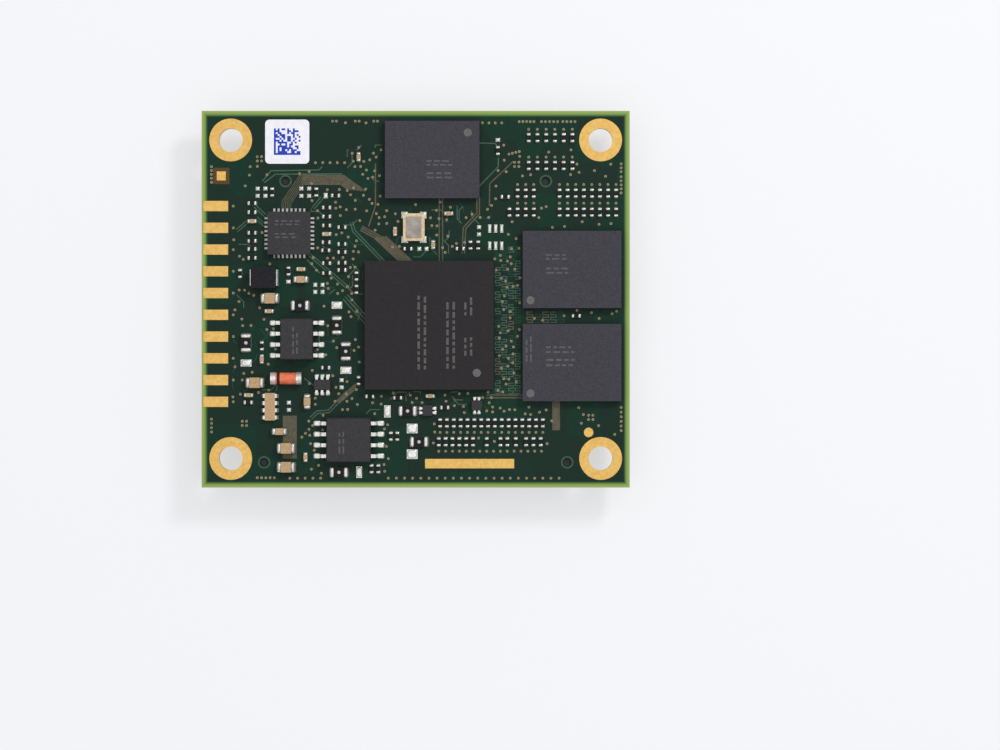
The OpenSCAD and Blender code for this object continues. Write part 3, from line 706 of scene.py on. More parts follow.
class Shapes:
    """Closed shapes worked out as whole arrays."""

    BOX_SIDES = np.array([
        [0, 2, 3, 1], [4, 5, 7, 6], [0, 1, 5, 4], [2, 6, 7, 3], [0, 4, 6, 2], [1, 3, 7, 5]])
    DISC_RINGS = np.array([[0.0, 1, 1, 1], [1.0, 0.94, 0.94, 0.94]])
    CAP_SEGMENTS = 12
    LEAST_MITRE = 0.3

    @staticmethod
    def cap_faces(segments: int, rings: int) -> list[Array]:
        """Number the faces of a cap: quads between rings, a fan to the pole and a flat bottom.

        Args:
            segments: Points in a ring.
            rings: Rings from the base up; the pole comes after them.

        Returns:
            Quads, triangles and the bottom polygon.
        """
        ring, point = np.meshgrid(np.arange(rings - 1), np.arange(segments), indexing="ij")
        after = (point + 1) % segments
        quads = np.stack([ring * segments + point, ring * segments + after,
                          (ring + 1) * segments + after, (ring + 1) * segments + point], -1)
        last = np.arange(segments)
        base = (rings - 1) * segments
        fan = np.stack([base + last, base + (last + 1) % segments, np.full(segments, rings * segments)], -1)
        return [quads.reshape(-1, 4), fan, last[::-1][None]]

    @staticmethod
    def caps(middle: Array, along: Array, back: Array, front: Array, half: Array, high: Array,
             rings: Array, segments: int = CAP_SEGMENTS, power: float = 4.0) -> Array:
        """Work out rounded caps on a face, one for each row of the inputs.

        Ring r lies at height h = high * rings[r, 0]. Its outline is the superellipse
        a = c + e * sign(cos t) * |cos t|^(2/power), b = w * sign(sin t) * |sin t|^(2/power), where c - e
        is -back * rings[r, 1], c + e is front * rings[r, 2] and w is half * rings[r, 3].

        Args:
            middle: Places on the face, n by 2.
            along: Unit directions, n by 2.
            back: Reach against the direction.
            front: Reach along the direction.
            half: Half width.
            high: Height.
            rings: Shares of height, back, front and half width, one row a ring.
            segments: Points in a ring.
            power: Squareness of the outline.

        Returns:
            Points, n by rings * segments + 1 by 3, with the pole last.
        """
        t = (np.arange(segments) + 0.5) * 2 * np.pi / segments
        cos = np.sign(np.cos(t)) * np.abs(np.cos(t)) ** (2 / power)
        sin = np.sign(np.sin(t)) * np.abs(np.sin(t)) ** (2 / power)
        far = front[:, None] * rings[None, :, 2]
        near = -back[:, None] * rings[None, :, 1]
        a = ((far + near) / 2)[..., None] + ((far - near) / 2)[..., None] * cos
        b = (half[:, None] * rings[None, :, 3])[..., None] * sin
        h = np.broadcast_to((high[:, None] * rings[None, :, 0])[..., None], a.shape)
        across = np.stack([-along[:, 1], along[:, 0]], -1)
        flat = a[..., None] * along[:, None, None] + b[..., None] * across[:, None, None]
        flat = flat + middle[:, None, None]
        body = np.concatenate([flat, h[..., None]], -1).reshape(len(middle), -1, 3)
        pole = np.concatenate([flat[:, -1].mean(1), high[:, None]], -1)[:, None]
        return np.concatenate([body, pole], 1)

    @staticmethod
    def discs(middle: Array, radius: float, high: float, segments: int) -> tuple[Array, list[Array]]:
        """Low round discs about places on a face, as caps with equal reach all round.

        Args:
            middle: Places, n by 2.
            radius: Radius at the foot.
            high: Height.
            segments: Sides of a disc.

        Returns:
            Points, n by 2 * segments + 1 by 3, and the faces.
        """
        size = np.full(len(middle), radius)
        way = np.tile([1.0, 0.0], (len(middle), 1))
        points = Shapes.caps(middle, way, size, size, size, np.full(len(middle), high), Shapes.DISC_RINGS,
                             segments, 2.0)
        return points, Shapes.cap_faces(segments, len(Shapes.DISC_RINGS))

    @staticmethod
    def boxes(low: Array, high: Array) -> Array:
        """Corner points of upright boxes, x fastest: n by 8 by 3."""
        pick = np.array([[i & 1, i >> 1 & 1, i >> 2 & 1] for i in range(8)])
        return np.where(pick[None] == 1, high[:, None], low[:, None])

    @staticmethod
    def ribbon(path: Array, width: float, high: float, shift: float = 0.0) -> tuple[Array, list[Array]]:
        """Carry a flat bar along a path.

        At each point the section has the corners (w/2, 0), (w/2 - h/2, h), (-w/2 + h/2, h) and (-w/2, 0)
        along the mitre, the mean of the two neighbouring normals divided by its square length.

        Args:
            path: Points on the face, n by 2.
            width: Width of the bar.
            high: Height of the bar.
            shift: Offset of the whole bar to the left of the path.

        Returns:
            Points, 1 by 4n by 3, and the faces: sides and the two ends.
        """
        step = np.diff(path, axis=0)
        step = step / np.linalg.norm(step, axis=1, keepdims=True)
        normal = np.stack([-step[:, 1], step[:, 0]], -1)
        mitre = (np.vstack([normal[:1], normal]) + np.vstack([normal, normal[-1:]])) / 2
        mitre = mitre / np.maximum((mitre ** 2).sum(1, keepdims=True), Shapes.LEAST_MITRE)
        side = np.array([width / 2, width / 2 - high / 2, high / 2 - width / 2, -width / 2]) + shift
        flat = path[:, None] + mitre[:, None] * side[None, :, None]
        tall = np.broadcast_to(np.array([0, high, high, 0])[None, :, None], (len(path), 4, 1))
        points = np.concatenate([flat, tall], -1).reshape(1, -1, 3)
        row, corner = np.meshgrid(np.arange(len(path) - 1), np.arange(4), indexing="ij")
        after = (corner + 1) % 4
        quads = np.stack([4 * row + corner, 4 * row + after, 4 * row + 4 + after, 4 * row + 4 + corner], -1)
        last = 4 * (len(path) - 1)
        ends = np.array([[0, 3, 2, 1], [last, last + 1, last + 2, last + 3]])
        return points, [quads.reshape(-1, 4), ends]

    @staticmethod
    def rings(middle: Array, inner: float, outer: float, high: float,
              segments: int) -> tuple[Array, list[Array]]:
        """Low flat rings about places on a face.

        The section (outer, 0), (outer, h), (inner, h), (inner, 0) is turned about each place.

        Args:
            middle: Places, n by 2.
            inner: Inner radius.
            outer: Outer radius.
            high: Height.
            segments: Sides of a ring.

        Returns:
            Points, n by 4 * segments by 3, and the faces.
        """
        t = np.arange(segments) * 2 * np.pi / segments
        radius = np.array([outer, outer, inner, inner])
        height = np.array([0, high, high, 0])
        turn = np.stack([np.cos(t), np.sin(t)], -1)
        flat = middle[:, None, None] + radius[None, :, None, None] * turn[None, None]
        tall = np.broadcast_to(height[None, :, None, None], (*flat.shape[:3], 1))
        points = np.concatenate([flat, tall], -1).reshape(len(middle), -1, 3)
        ring, point = np.meshgrid(np.arange(4), np.arange(segments), indexing="ij")
        up, after = (ring + 1) % 4, (point + 1) % segments
        quads = np.stack([ring * segments + point, ring * segments + after,
                          up * segments + after, up * segments + point], -1)
        return points, [quads.reshape(-1, 4)]


@dataclass
class Solder:
    """Reflowed solder: lumps that stand for chip terminals, crowns on bare pads, aprons at leads."""

    frame: Frame
    face: Face
    terminals: tuple[str, ...]
    pads: str
    leads: tuple[str, ...]
    crown: float = 0.12
    apron: float = 0.14
    apron_reach: float = 0.22
    apron_side: float = 0.12
    lump_rings: Array = field(default_factory=lambda: np.array([
        [0.0, 1.0, 1.0, 1.0], [0.45, 1.0, 0.72, 0.98], [0.88, 0.98, 0.52, 0.92], [1.0, 0.8, 0.36, 0.66]]))
    crown_rings: Array = field(default_factory=lambda: np.array([
        [0.0, 1.0, 1.0, 1.0], [0.6, 0.92, 0.92, 0.92], [0.95, 0.62, 0.62, 0.62]]))

    def build(self) -> None:
        """Make all the solder of one face."""
        for node in self.terminals:
            self.lumps(node)
        self.crowns()
        self.aprons()

    def lumps(self, node: str) -> None:
        """Replace a node of chip terminals by rounded lumps of the same reach and height.

        Args:
            node: The terminals' node, two for each chip part.
        """
        solids = self.frame.solids(node, self.face, TERMINAL)
        low, high = solids.min(1), solids.max(1)
        flat = solids[..., 2] > high[:, None, 2] - SAME_LEVEL
        top_low = np.where(flat[..., None], solids, np.inf).min(1)
        top_high = np.where(flat[..., None], solids, -np.inf).max(1)
        toes = np.concatenate([(top_low - low)[:, :2], (high - top_high)[:, :2]], 1)
        way = np.array([[-1, 0], [0, -1], [1, 0], [0, 1]], float)[toes.argmax(1)]
        middle = ((top_low + top_high) / 2)[:, :2]
        size = (top_high - top_low)[:, :2]
        lengthwise = np.abs(way[:, 0]) > 0.5
        back = np.where(lengthwise, size[:, 0], size[:, 1]) / 2
        half = np.where(lengthwise, size[:, 1], size[:, 0]) / 2
        points = Shapes.caps(middle, way, back, back + toes.max(1), half, high[:, 2], self.lump_rings)
        piece = Piece(f"{node}_solder", self.face)
        piece.add(points, Shapes.cap_faces(Shapes.CAP_SEGMENTS, len(self.lump_rings)))
        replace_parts(piece.build(FINISHES["tin"], "tin", True), node)

    def crowns(self) -> None:
        """Raise a crown of solder on each bare pad."""
        solids = self.frame.solids(self.pads, self.face, BLOCK)
        low, high = solids.min(1), solids.max(1)
        way = np.tile([1.0, 0.0], (len(low), 1))
        half = (high - low)[:, :2] / 2
        points = Shapes.caps(((low + high) / 2)[:, :2], way, half[:, 0], half[:, 0], half[:, 1],
                             np.full(len(low), self.crown), self.crown_rings)
        piece = Piece(f"{self.pads}_crowns", self.face)
        piece.add(points, Shapes.cap_faces(Shapes.CAP_SEGMENTS, len(self.crown_rings)))
        piece.build(FINISHES["tin"], "tin", True)

    def aprons(self) -> None:
        """Lay solder round the foot of each gull-wing lead."""
        solids = np.concatenate([self.frame.solids(node, self.face, LEAD) for node in self.leads])
        foot = solids[..., 2] < SAME_LEVEL
        low = np.where(foot[..., None], solids, np.inf).min(1)[:, :2]
        high = np.where(foot[..., None], solids, -np.inf).max(1)[:, :2]
        whole = (solids.min(1) + solids.max(1))[:, :2] / 2
        middle = (low + high) / 2
        lean = middle - whole
        lengthwise = np.abs(lean[:, 0]) > np.abs(lean[:, 1])
        way = np.where(lengthwise[:, None], np.sign(lean) * [1, 0], np.sign(lean) * [0, 1])
        size = (high - low) / 2
        back = np.where(lengthwise, size[:, 0], size[:, 1])
        half = np.where(lengthwise, size[:, 1], size[:, 0]) + self.apron_side
        points = Shapes.caps(middle, way, back, back + self.apron_reach, half,
                             np.full(len(low), self.apron), self.crown_rings)
        piece = Piece(f"lead_solder_{self.face.label}", self.face)
        piece.add(points, Shapes.cap_faces(Shapes.CAP_SEGMENTS, len(self.crown_rings)))
        piece.build(FINISHES["tin"], "tin", True)


@dataclass(frozen=True)
class Track:
    """Tracks on a face: a path, and copies of it side by side, each ending a stagger before the last."""

    path: Path
    tone: Tone = Tone.LIGHT
    width: float = 0.15
    count: int = 1
    pitch: float = 0.3
    stagger: float = 0.0


@dataclass(frozen=True)
class Wander:
    """A field of short seeded tracks that step at right or half-right angles."""

    corner: Place
    opposite: Place
    count: int
    steps: int = 2


@dataclass(frozen=True)
class Meander:
    """A field of length-matched tracks: square waves side by side, cut into seeded runs."""

    corner: Place
    opposite: Place
    columns: int
    pitch: float = 0.3
    fill: float = 0.72


@dataclass
class Tracks:
    """Copper tracks that show through the solder mask of one face."""

    face: Face
    tracks: tuple[Track, ...]
    fields: tuple[Wander, ...]
    meanders: tuple[Meander, ...]
    drawn_high: float = 0.0125
    seeded_high: float = 0.004
    layer: float = 0.0002
    layers: int = 40
    thin: float = 0.12
    stride: Place = (0.4, 1.3)
    shortest: float = 0.1
    run: tuple[int, int] = (3, 9)
    tones: tuple[Tone, ...] = (Tone.LIGHT, Tone.DEEP, Tone.BROWN)
    wander_share: tuple[float, ...] = (0.35, 0.55, 0.1)
    meander_share: tuple[float, ...] = (0.4, 0.35, 0.25)
    pause: float = 1.5

    def wander(self, area: Wander, rng: np.random.Generator) -> list[Track]:
        """Draw the tracks of one field.

        Args:
            area: The field.
            rng: The seeded source.

        Returns:
            Tracks that stay inside the field.
        """
        low, high = np.array(area.corner), np.array(area.opposite)
        made = []
        for pick in rng.choice(len(self.tones), area.count, p=self.wander_share):
            turn = rng.integers(0, 8) + np.cumsum(rng.choice([-1, 1], area.steps))
            step = rng.uniform(*self.stride, area.steps)
            move = np.stack([np.cos(turn * np.pi / 4), np.sin(turn * np.pi / 4)], -1) * step[:, None]
            path = np.clip(rng.uniform(low, high) + np.vstack([[0, 0], np.cumsum(move, 0)]), low, high)
            keep = np.append(True, np.linalg.norm(np.diff(path, axis=0), axis=1) > self.shortest)
            if keep.sum() > 1:
                made.append(Track(tuple(map(tuple, path[keep])), self.tones[pick], self.thin))
        return made

    def meander(self, area: Meander, rng: np.random.Generator) -> list[Track]:
        """Draw the square waves of one field.

        Point k of a wave lies at u = u0 + a * ((k + 1) // 2 mod 2) and v = v0 + pitch * (k // 2).

        Args:
            area: The field.
            rng: The seeded source.

        Returns:
            Tracks, column by column.
        """
        (u0, v0), (u1, v1) = area.corner, area.opposite
        step = (u1 - u0) / area.columns
        made = []
        for column in range(area.columns):
            v = v0
            while v < v1 - self.run[0] * area.pitch:
                waves = min(int(rng.integers(*self.run)), int((v1 - v) / area.pitch))
                k = np.arange(2 * waves)
                across = u0 + step * (column + area.fill * ((k + 1) // 2 % 2))
                path = np.stack([across, v + area.pitch * (k // 2)], -1)
                tone = self.tones[rng.choice(len(self.tones), p=self.meander_share)]
                made.append(Track(tuple(map(tuple, path)), tone, self.thin))
                v += (waves + self.pause) * area.pitch
        return made

    def lay(self, track: Track, high: float, piece: Piece) -> None:
        """Add a track's copies to a piece.

        Args:
            track: The track.
            high: Its height above the board.
            piece: The piece that gathers its tone.
        """
        for i in range(track.count):
            path = np.array(track.path, float)
            last = path[-1] - path[-2]
            path[-1] -= last / np.linalg.norm(last) * track.stagger * i
            shift = ((track.count - 1) / 2 - i) * track.pitch
            piece.add(*Shapes.ribbon(path, track.width, high, shift))

    def build(self) -> None:
        """Make one piece for each tone, with crossing tracks at different heights."""
        rng = np.random.default_rng(SEED)
        seeded = []
        for area in self.fields:
            seeded += self.wander(area, rng)
        for area in self.meanders:
            seeded += self.meander(area, rng)
        for tone in Tone:
            piece = Piece(f"{tone.value}_{self.face.label}", self.face)
            for start, tracks in ((self.seeded_high, seeded), (self.drawn_high, self.tracks)):
                for number, track in enumerate(tracks):
                    if track.tone is tone:
                        self.lay(track, start + self.layer * (number % self.layers), piece)
            piece.detail(tone.value)


@dataclass
class Ground:
    """What covers a face of the board, on a fine grid of cells."""

    frame: Frame
    face: Face
    skip: tuple[str, ...] = ("board", "processor_balls", "flash_balls", "memory_balls")
    cell: float = 0.1
    near: float = 0.02
    margin: float = 0.24
    peg_clear: float = 0.8

    def __post_init__(self) -> None:
        """Mark the cells of the holes and below every solid that stands on this face."""
        self.shape = tuple(int(2 * half / self.cell) for half in self.frame.half)
        pegs = self.frame.pegs(self.face)
        zones = [self.frame.rings(self.face), np.stack([pegs - self.peg_clear, pegs + self.peg_clear], 1)]
        for node in self.frame.nodes:
            if node not in self.skip:
                corners = self.frame.triangles(node, self.face)
                flat = corners[corners[..., 2].max(1) > self.near][..., :2]
                zones.append(np.stack([flat.min(1), flat.max(1)], 1))
        self.taken = self.cover(np.concatenate(zones))

    def cover(self, zones: Array) -> Array:
        """Find the cells that lie in any zone.

        Each zone adds 1 at its first cell and past its last one, and -1 past either end alone, so the
        running sum along both axes counts the zones over a cell.

        Args:
            zones: Lowest and highest corner, n by 2 by 2.

        Returns:
            A flag for each cell.
        """
        a, b = self.cells(zones[:, 0] - self.margin).T
        c, d = self.cells(zones[:, 1] + self.margin).T + 1
        steps = np.zeros((self.shape[0] + 1, self.shape[1] + 1), int)
        for first, second, sign in ((a, b, 1), (c, d, 1), (a, d, -1), (c, b, -1)):
            np.add.at(steps, (first, second), sign)
        return steps.cumsum(0).cumsum(1)[:-1, :-1] > 0

    def cells(self, where: Array) -> Array:
        """Grid cells of places on the face."""
        found = ((where + np.array(self.frame.half)) / self.cell).astype(int)
        return np.clip(found, 0, np.array(self.shape) - 1)

    def free(self, where: Array) -> Array:
        """Which of the places have nothing on them."""
        return ~self.taken[tuple(self.cells(where).T)]


@dataclass(frozen=True)
class Row:
    """Vias at equal steps from a first place."""

    first: Place
    step: Place
    count: int


@dataclass(frozen=True)
class Scatter:
    """Vias strewn by a seed over a part of the face."""

    corner: Place
    opposite: Place
    count: int


@dataclass
class Vias:
    """Plated through-holes: a low metal ring and a darker plug each."""

    face: Face
    ground: Ground
    rows: tuple[Row, ...]
    grids: tuple[Place, ...]
    scatters: tuple[Scatter, ...]
    outer: float = 0.16
    inner: float = 0.05
    high: float = 0.02
    plug_high: float = 0.012
    apart: float = 0.55
    grid_step: float = 0.5
    tries: int = 8
    segments: int = 10

    def places(self) -> Array:
        """Gather the via places.

        Returns:
            Places on the face, n by 2.
        """
        rows = [np.array(r.first) + np.arange(r.count)[:, None] * np.array(r.step) for r in self.rows]
        corner = np.array([[i, j] for i in (-0.5, 0.5) for j in (-0.5, 0.5)]) * self.grid_step
        found = np.concatenate(rows + [np.array(g) + corner for g in self.grids])
        found = found[self.ground.free(found)]
        rng = np.random.default_rng(SEED)
        for area in self.scatters:
            drawn = rng.uniform(area.corner, area.opposite, (area.count * self.tries, 2))
            kept = 0
            for place in drawn[self.ground.free(drawn)]:
                if kept < area.count and np.min(np.linalg.norm(found - place, axis=1)) > self.apart:
                    found = np.vstack([found, place])
                    kept += 1
        return found

    def build(self) -> None:
        """Make the rings and the plugs."""
        where = self.places()
        ring = Piece(f"via_rings_{self.face.label}", self.face)
        ring.add(*Shapes.rings(where, self.inner, self.outer, self.high, self.segments))
        ring.detail("via_metal")
        plug = Piece(f"via_plugs_{self.face.label}", self.face)
        plug.add(*Shapes.discs(where, self.inner, self.plug_high, self.segments))
        plug.detail("via_plug")


@dataclass
class Code:
    """A square code of seeded modules on a label."""

    frame: Frame
    face: Face
    node: str
    size: float = 3.1
    cells: int = 14
    dark_share: float = 0.5
    high: float = 0.006

    def build(self) -> None:
        """Print the code in the middle of the label."""
        low, high = self.frame.box(self.node, self.face)
        dark = np.random.default_rng(SEED).random((self.cells, self.cells)) < self.dark_share
        dark[:, 0] = True
        dark[0, :] = True
        step = self.size / self.cells
        corner = (low + high)[:2] / 2 + (np.argwhere(dark) - self.cells / 2) * step
        start = np.column_stack([corner, np.full(len(corner), high[2])])
        piece = Piece(f"{self.node}_code", self.face)
        piece.add(Shapes.boxes(start, start + np.array([step, step, self.high])), [Shapes.BOX_SIDES])
        piece.detail("code_blue")


@dataclass(frozen=True)
class MarkRow:
    """One row of marking, from the middle of its package: a pair of dashed lines, level or upright."""

    start: Place
    end: Place
    height: float


@dataclass(frozen=True)
class Dot:
    """The dot at contact one: the signs of its corner, its inset from both sides and its radius."""

    corner: tuple[int, int]
    inset: float
    radius: float = 0.48


@dataclass
class Marks:
    """Plain dashes and dots on the packages of one face."""

    frame: Frame
    face: Face
    rows: dict[str, tuple[MarkRow, ...]]
    dots: dict[str, Dot]
    high: float = 0.008
    dash: Place = (0.35, 0.95)
    gap: float = 0.28
    thick: float = 0.22
    lines: Place = (-0.28, 0.28)
    dimple: float = 0.03
    segments: int = 24

    def dashes(self, row: MarkRow, middle: Array, rng: np.random.Generator) -> Array:
        """Lay dashes along the two lines of one row.

        A dash from b to b + s along the row covers start + way * b to start + way * (b + s), moved
        across the row by a share of its height and grown to the sides by half of its thickness.

        Args:
            row: The row.
            middle: Middle of the package's flat.
            rng: The seeded source.

        Returns:
            Boxes, n by 8 by 3.
        """
        start = middle[:2] + np.array(row.start)
        run = np.array(row.end) - np.array(row.start)
        length = np.linalg.norm(run)
        way = run / length
        across = np.array([-way[1], way[0]])
        made = []
        for line in self.lines:
            sizes = rng.uniform(*self.dash, int(length / self.gap))
            begin = np.append(0, np.cumsum(sizes + self.gap)[:-1])
            keep = begin + sizes < length
            ends = np.stack([begin, begin + sizes], -1)[keep][..., None] * way
            made.append(start + ends + across * row.height * line)
        ends = np.concatenate(made)
        grow = np.abs(across) * self.thick * row.height / 2
        base = np.full(len(ends), middle[2])
        low = np.column_stack([ends.min(1) - grow, base])
        return Shapes.boxes(low, np.column_stack([ends.max(1) + grow, base + self.high]))

    def build(self) -> None:
        """Make the dashes and the dots at contact one."""
        rng = np.random.default_rng(SEED)
        dashes = Piece(f"package_marks_{self.face.label}", self.face)
        for node, rows in self.rows.items():
            low, high = self.frame.box(node, self.face)
            middle = np.array([*(low + high)[:2] / 2, high[2]])
            for row in rows:
                dashes.add(self.dashes(row, middle, rng), [Shapes.BOX_SIDES])
        dashes.detail("laser_mark")
        dots = Piece(f"first_dots_{self.face.label}", self.face)
        for node, dot in self.dots.items():
            low, high = self.frame.box(node, self.face)
            reach = (high - low)[:2] / 2 - dot.inset
            middle = (low + high)[:2] / 2 + reach * np.array(dot.corner)
            points, faces = Shapes.discs(middle[None], dot.radius, self.high, self.segments)
            dots.add(points + np.array([0, 0, high[2] - self.dimple]), faces)
        dots.detail("first_dot")


@dataclass
class Surround:
    """A square of bare laminate round a fiducial."""

    face: Face
    middle: Place
    size: float = 1.9
    high: float = 0.01

    def build(self) -> None:
        """Lay the square."""
        low = np.array([[self.middle[0] - self.size / 2, self.middle[1] - self.size / 2, 0]])
        piece = Piece(f"fiducial_surround_{self.face.label}", self.face)
        piece.add(Shapes.boxes(low, low + np.array([self.size, self.size, self.high])), [Shapes.BOX_SIDES])
        piece.detail("bare_laminate")


@dataclass
class HoleRims:
    """Pale rims round the locating holes on top."""

    frame: Frame
    inner: float = 0.52
    outer: float = 0.74
    high: float = 0.01
    segments: int = 24

    def build(self) -> None:
        """Make the rims."""
        face = self.frame.top
        piece = Piece("hole_rims", face)
        piece.add(*Shapes.rings(self.frame.pegs(face), self.inner, self.outer, self.high, self.segments))
        piece.detail("hole_rim")


@dataclass
class DiodeBand:
    """Dark band round one end of the glass diode."""

    frame: Frame
    from_end: float = 0.16
    width: float = 0.34
    proud: float = 0.012
    segments: int = 32

    def build(self) -> None:
        """Stand a ring on its side about the diode's axis: its (a, b, h) becomes (v, height, u)."""
        face = self.frame.top
        low, high = self.frame.box("diode_glass", face)
        radius = (high[2] - low[2]) / 2
        points, faces = Shapes.rings((low + high)[None, 1:] / 2, radius - self.proud, radius + self.proud,
                                     self.width, self.segments)
        piece = Piece("diode_band", face)
        piece.add(points[..., [2, 0, 1]] + np.array([low[0] + self.from_end, 0, 0]), faces)
        piece.detail("diode_band")


@dataclass
class JumperDots:
    """A pale dot in the middle of each jumper."""

    frame: Frame
    radius: float = 0.2
    high: float = 0.01
    segments: int = 12

    def build(self) -> None:
        """Set a low disc on each jumper body."""
        face = self.frame.top
        solids = self.frame.solids("jumper_bodies", face, BLOCK)
        low, high = solids.min(1), solids.max(1)
        points, faces = Shapes.discs((low + high)[:, :2] / 2, self.radius, self.high, self.segments)
        points[..., 2] += high[:, None, 2]
        piece = Piece("jumper_dots", face)
        piece.add(points, faces)
        piece.detail("white_ink")


@dataclass
class Studio:
    """Pale floor, soft light and the camera that looks straight down."""

    level: float
    view_width: float = 116.8
    distance: float = 400.0
    sensor: float = 36.0
    centre: Place = (9.85, -8.85)
    floor_size: float = 3.0
    floor_colour: Colour = (244, 245, 248)
    world_light: float = 0.46
    soft_power: float = 2.2
    soft_size: float = 0.9
    soft_height: float = 0.7
    key_power: float = 1.4
    key_size: float = 0.12
    key_at: tuple[float, float, float] = (0.28, 0.3, 0.42)
    low_power: float = 4.2

    def build(self) -> None:
        """Set up everything round the object."""
        self.floor()
        self.world()
        self.lamp("soft_light", (0, 0, self.soft_height), self.soft_size, self.soft_power)
        self.lamp("key_light", self.key_at, self.key_size, self.key_power)
        self.lamp("low_light", (0, 0, -self.soft_height), self.soft_size, self.low_power)
        self.camera()
        bpy.context.scene.view_settings.view_transform = "Standard"

    def floor(self) -> None:
        """Lay the floor below the connector rims."""
        half = self.floor_size / 2
        corners = [(-half, -half, 0), (half, -half, 0), (half, half, 0), (-half, half, 0)]
        mesh = bpy.data.meshes.new("floor")
        mesh.from_pydata(corners, [], [(0, 1, 2, 3)])
        colour = self.floor_colour
        look = FloorFinish("floor", colour, colour, 0.9, 0.02, grain=0.01, specular=0.0)
        mesh.materials.append(look.material())
        made = bpy.data.objects.new("floor", mesh)
        bpy.context.scene.collection.objects.link(made)

    def world(self) -> None:
        """Light evenly from all round."""
        world = bpy.data.worlds.new("studio")
        world.use_nodes = True
        background = world.node_tree.nodes["Background"]
        background.inputs["Color"].default_value = (1.0, 1.0, 1.0, 1.0)
        background.inputs["Strength"].default_value = self.world_light
        bpy.context.scene.world = world

    def lamp(self, name: str, at: tuple[float, float, float], size: float, power: float) -> None:
        """Hang a square lamp that faces the object.

        Args:
            name: The lamp's name.
            at: Its place in metres.
            size: Its side in metres.
            power: Its power in watts.
        """
        light = bpy.data.lights.new(name, "AREA")
        light.size = size
        light.energy = power
        made = bpy.data.objects.new(name, light)
        made.location = at
        x, y, z = at
        made.rotation_euler = (np.arctan2(np.hypot(x, y), z), 0, np.arctan2(y, x) + np.pi / 2)
        bpy.context.scene.collection.objects.link(made)

    def camera(self) -> None:
        """Look straight down, with the image's width set on the board's top."""
        camera = bpy.data.cameras.new("camera")
        camera.sensor_width = self.sensor
        camera.lens = self.sensor * self.distance / self.view_width
        made = bpy.data.objects.new("camera", camera)
        made.location = (self.centre[0] * MM, self.centre[1] * MM, (self.level + self.distance) * MM)
        bpy.context.scene.collection.objects.link(made)
        bpy.context.scene.camera = made


@dataclass(frozen=True)
class Plan:
    """Layout of what lies on one face: names of nodes, and places given one by one."""

    pads: str
    label: str
    terminals: tuple[str, ...]
    leads: tuple[str, ...]
    fiducial: Place
    tracks: tuple[Track, ...]
    fields: tuple[Wander, ...]
    meanders: tuple[Meander, ...]
    rows: tuple[Row, ...]
    grids: tuple[Place, ...]
    scatters: tuple[Scatter, ...]
    marks: dict[str, tuple[MarkRow, ...]]
    dots: dict[str, Dot]

    def works(self, frame: Frame, face: Face) -> list[Work]:
        """List the sub-assemblies of the face in order.

        Args:
            frame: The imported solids.
            face: The face.

        Returns:
            The sub-assemblies, ready to build.
        """
        return [
            Solder(frame, face, self.terminals, self.pads, self.leads),
            Tracks(face, self.tracks, self.fields, self.meanders),
            Vias(face, Ground(frame, face), self.rows, self.grids, self.scatters),
            Marks(frame, face, self.marks, self.dots),
            Code(frame, face, self.label),
            Surround(face, self.fiducial),
        ]


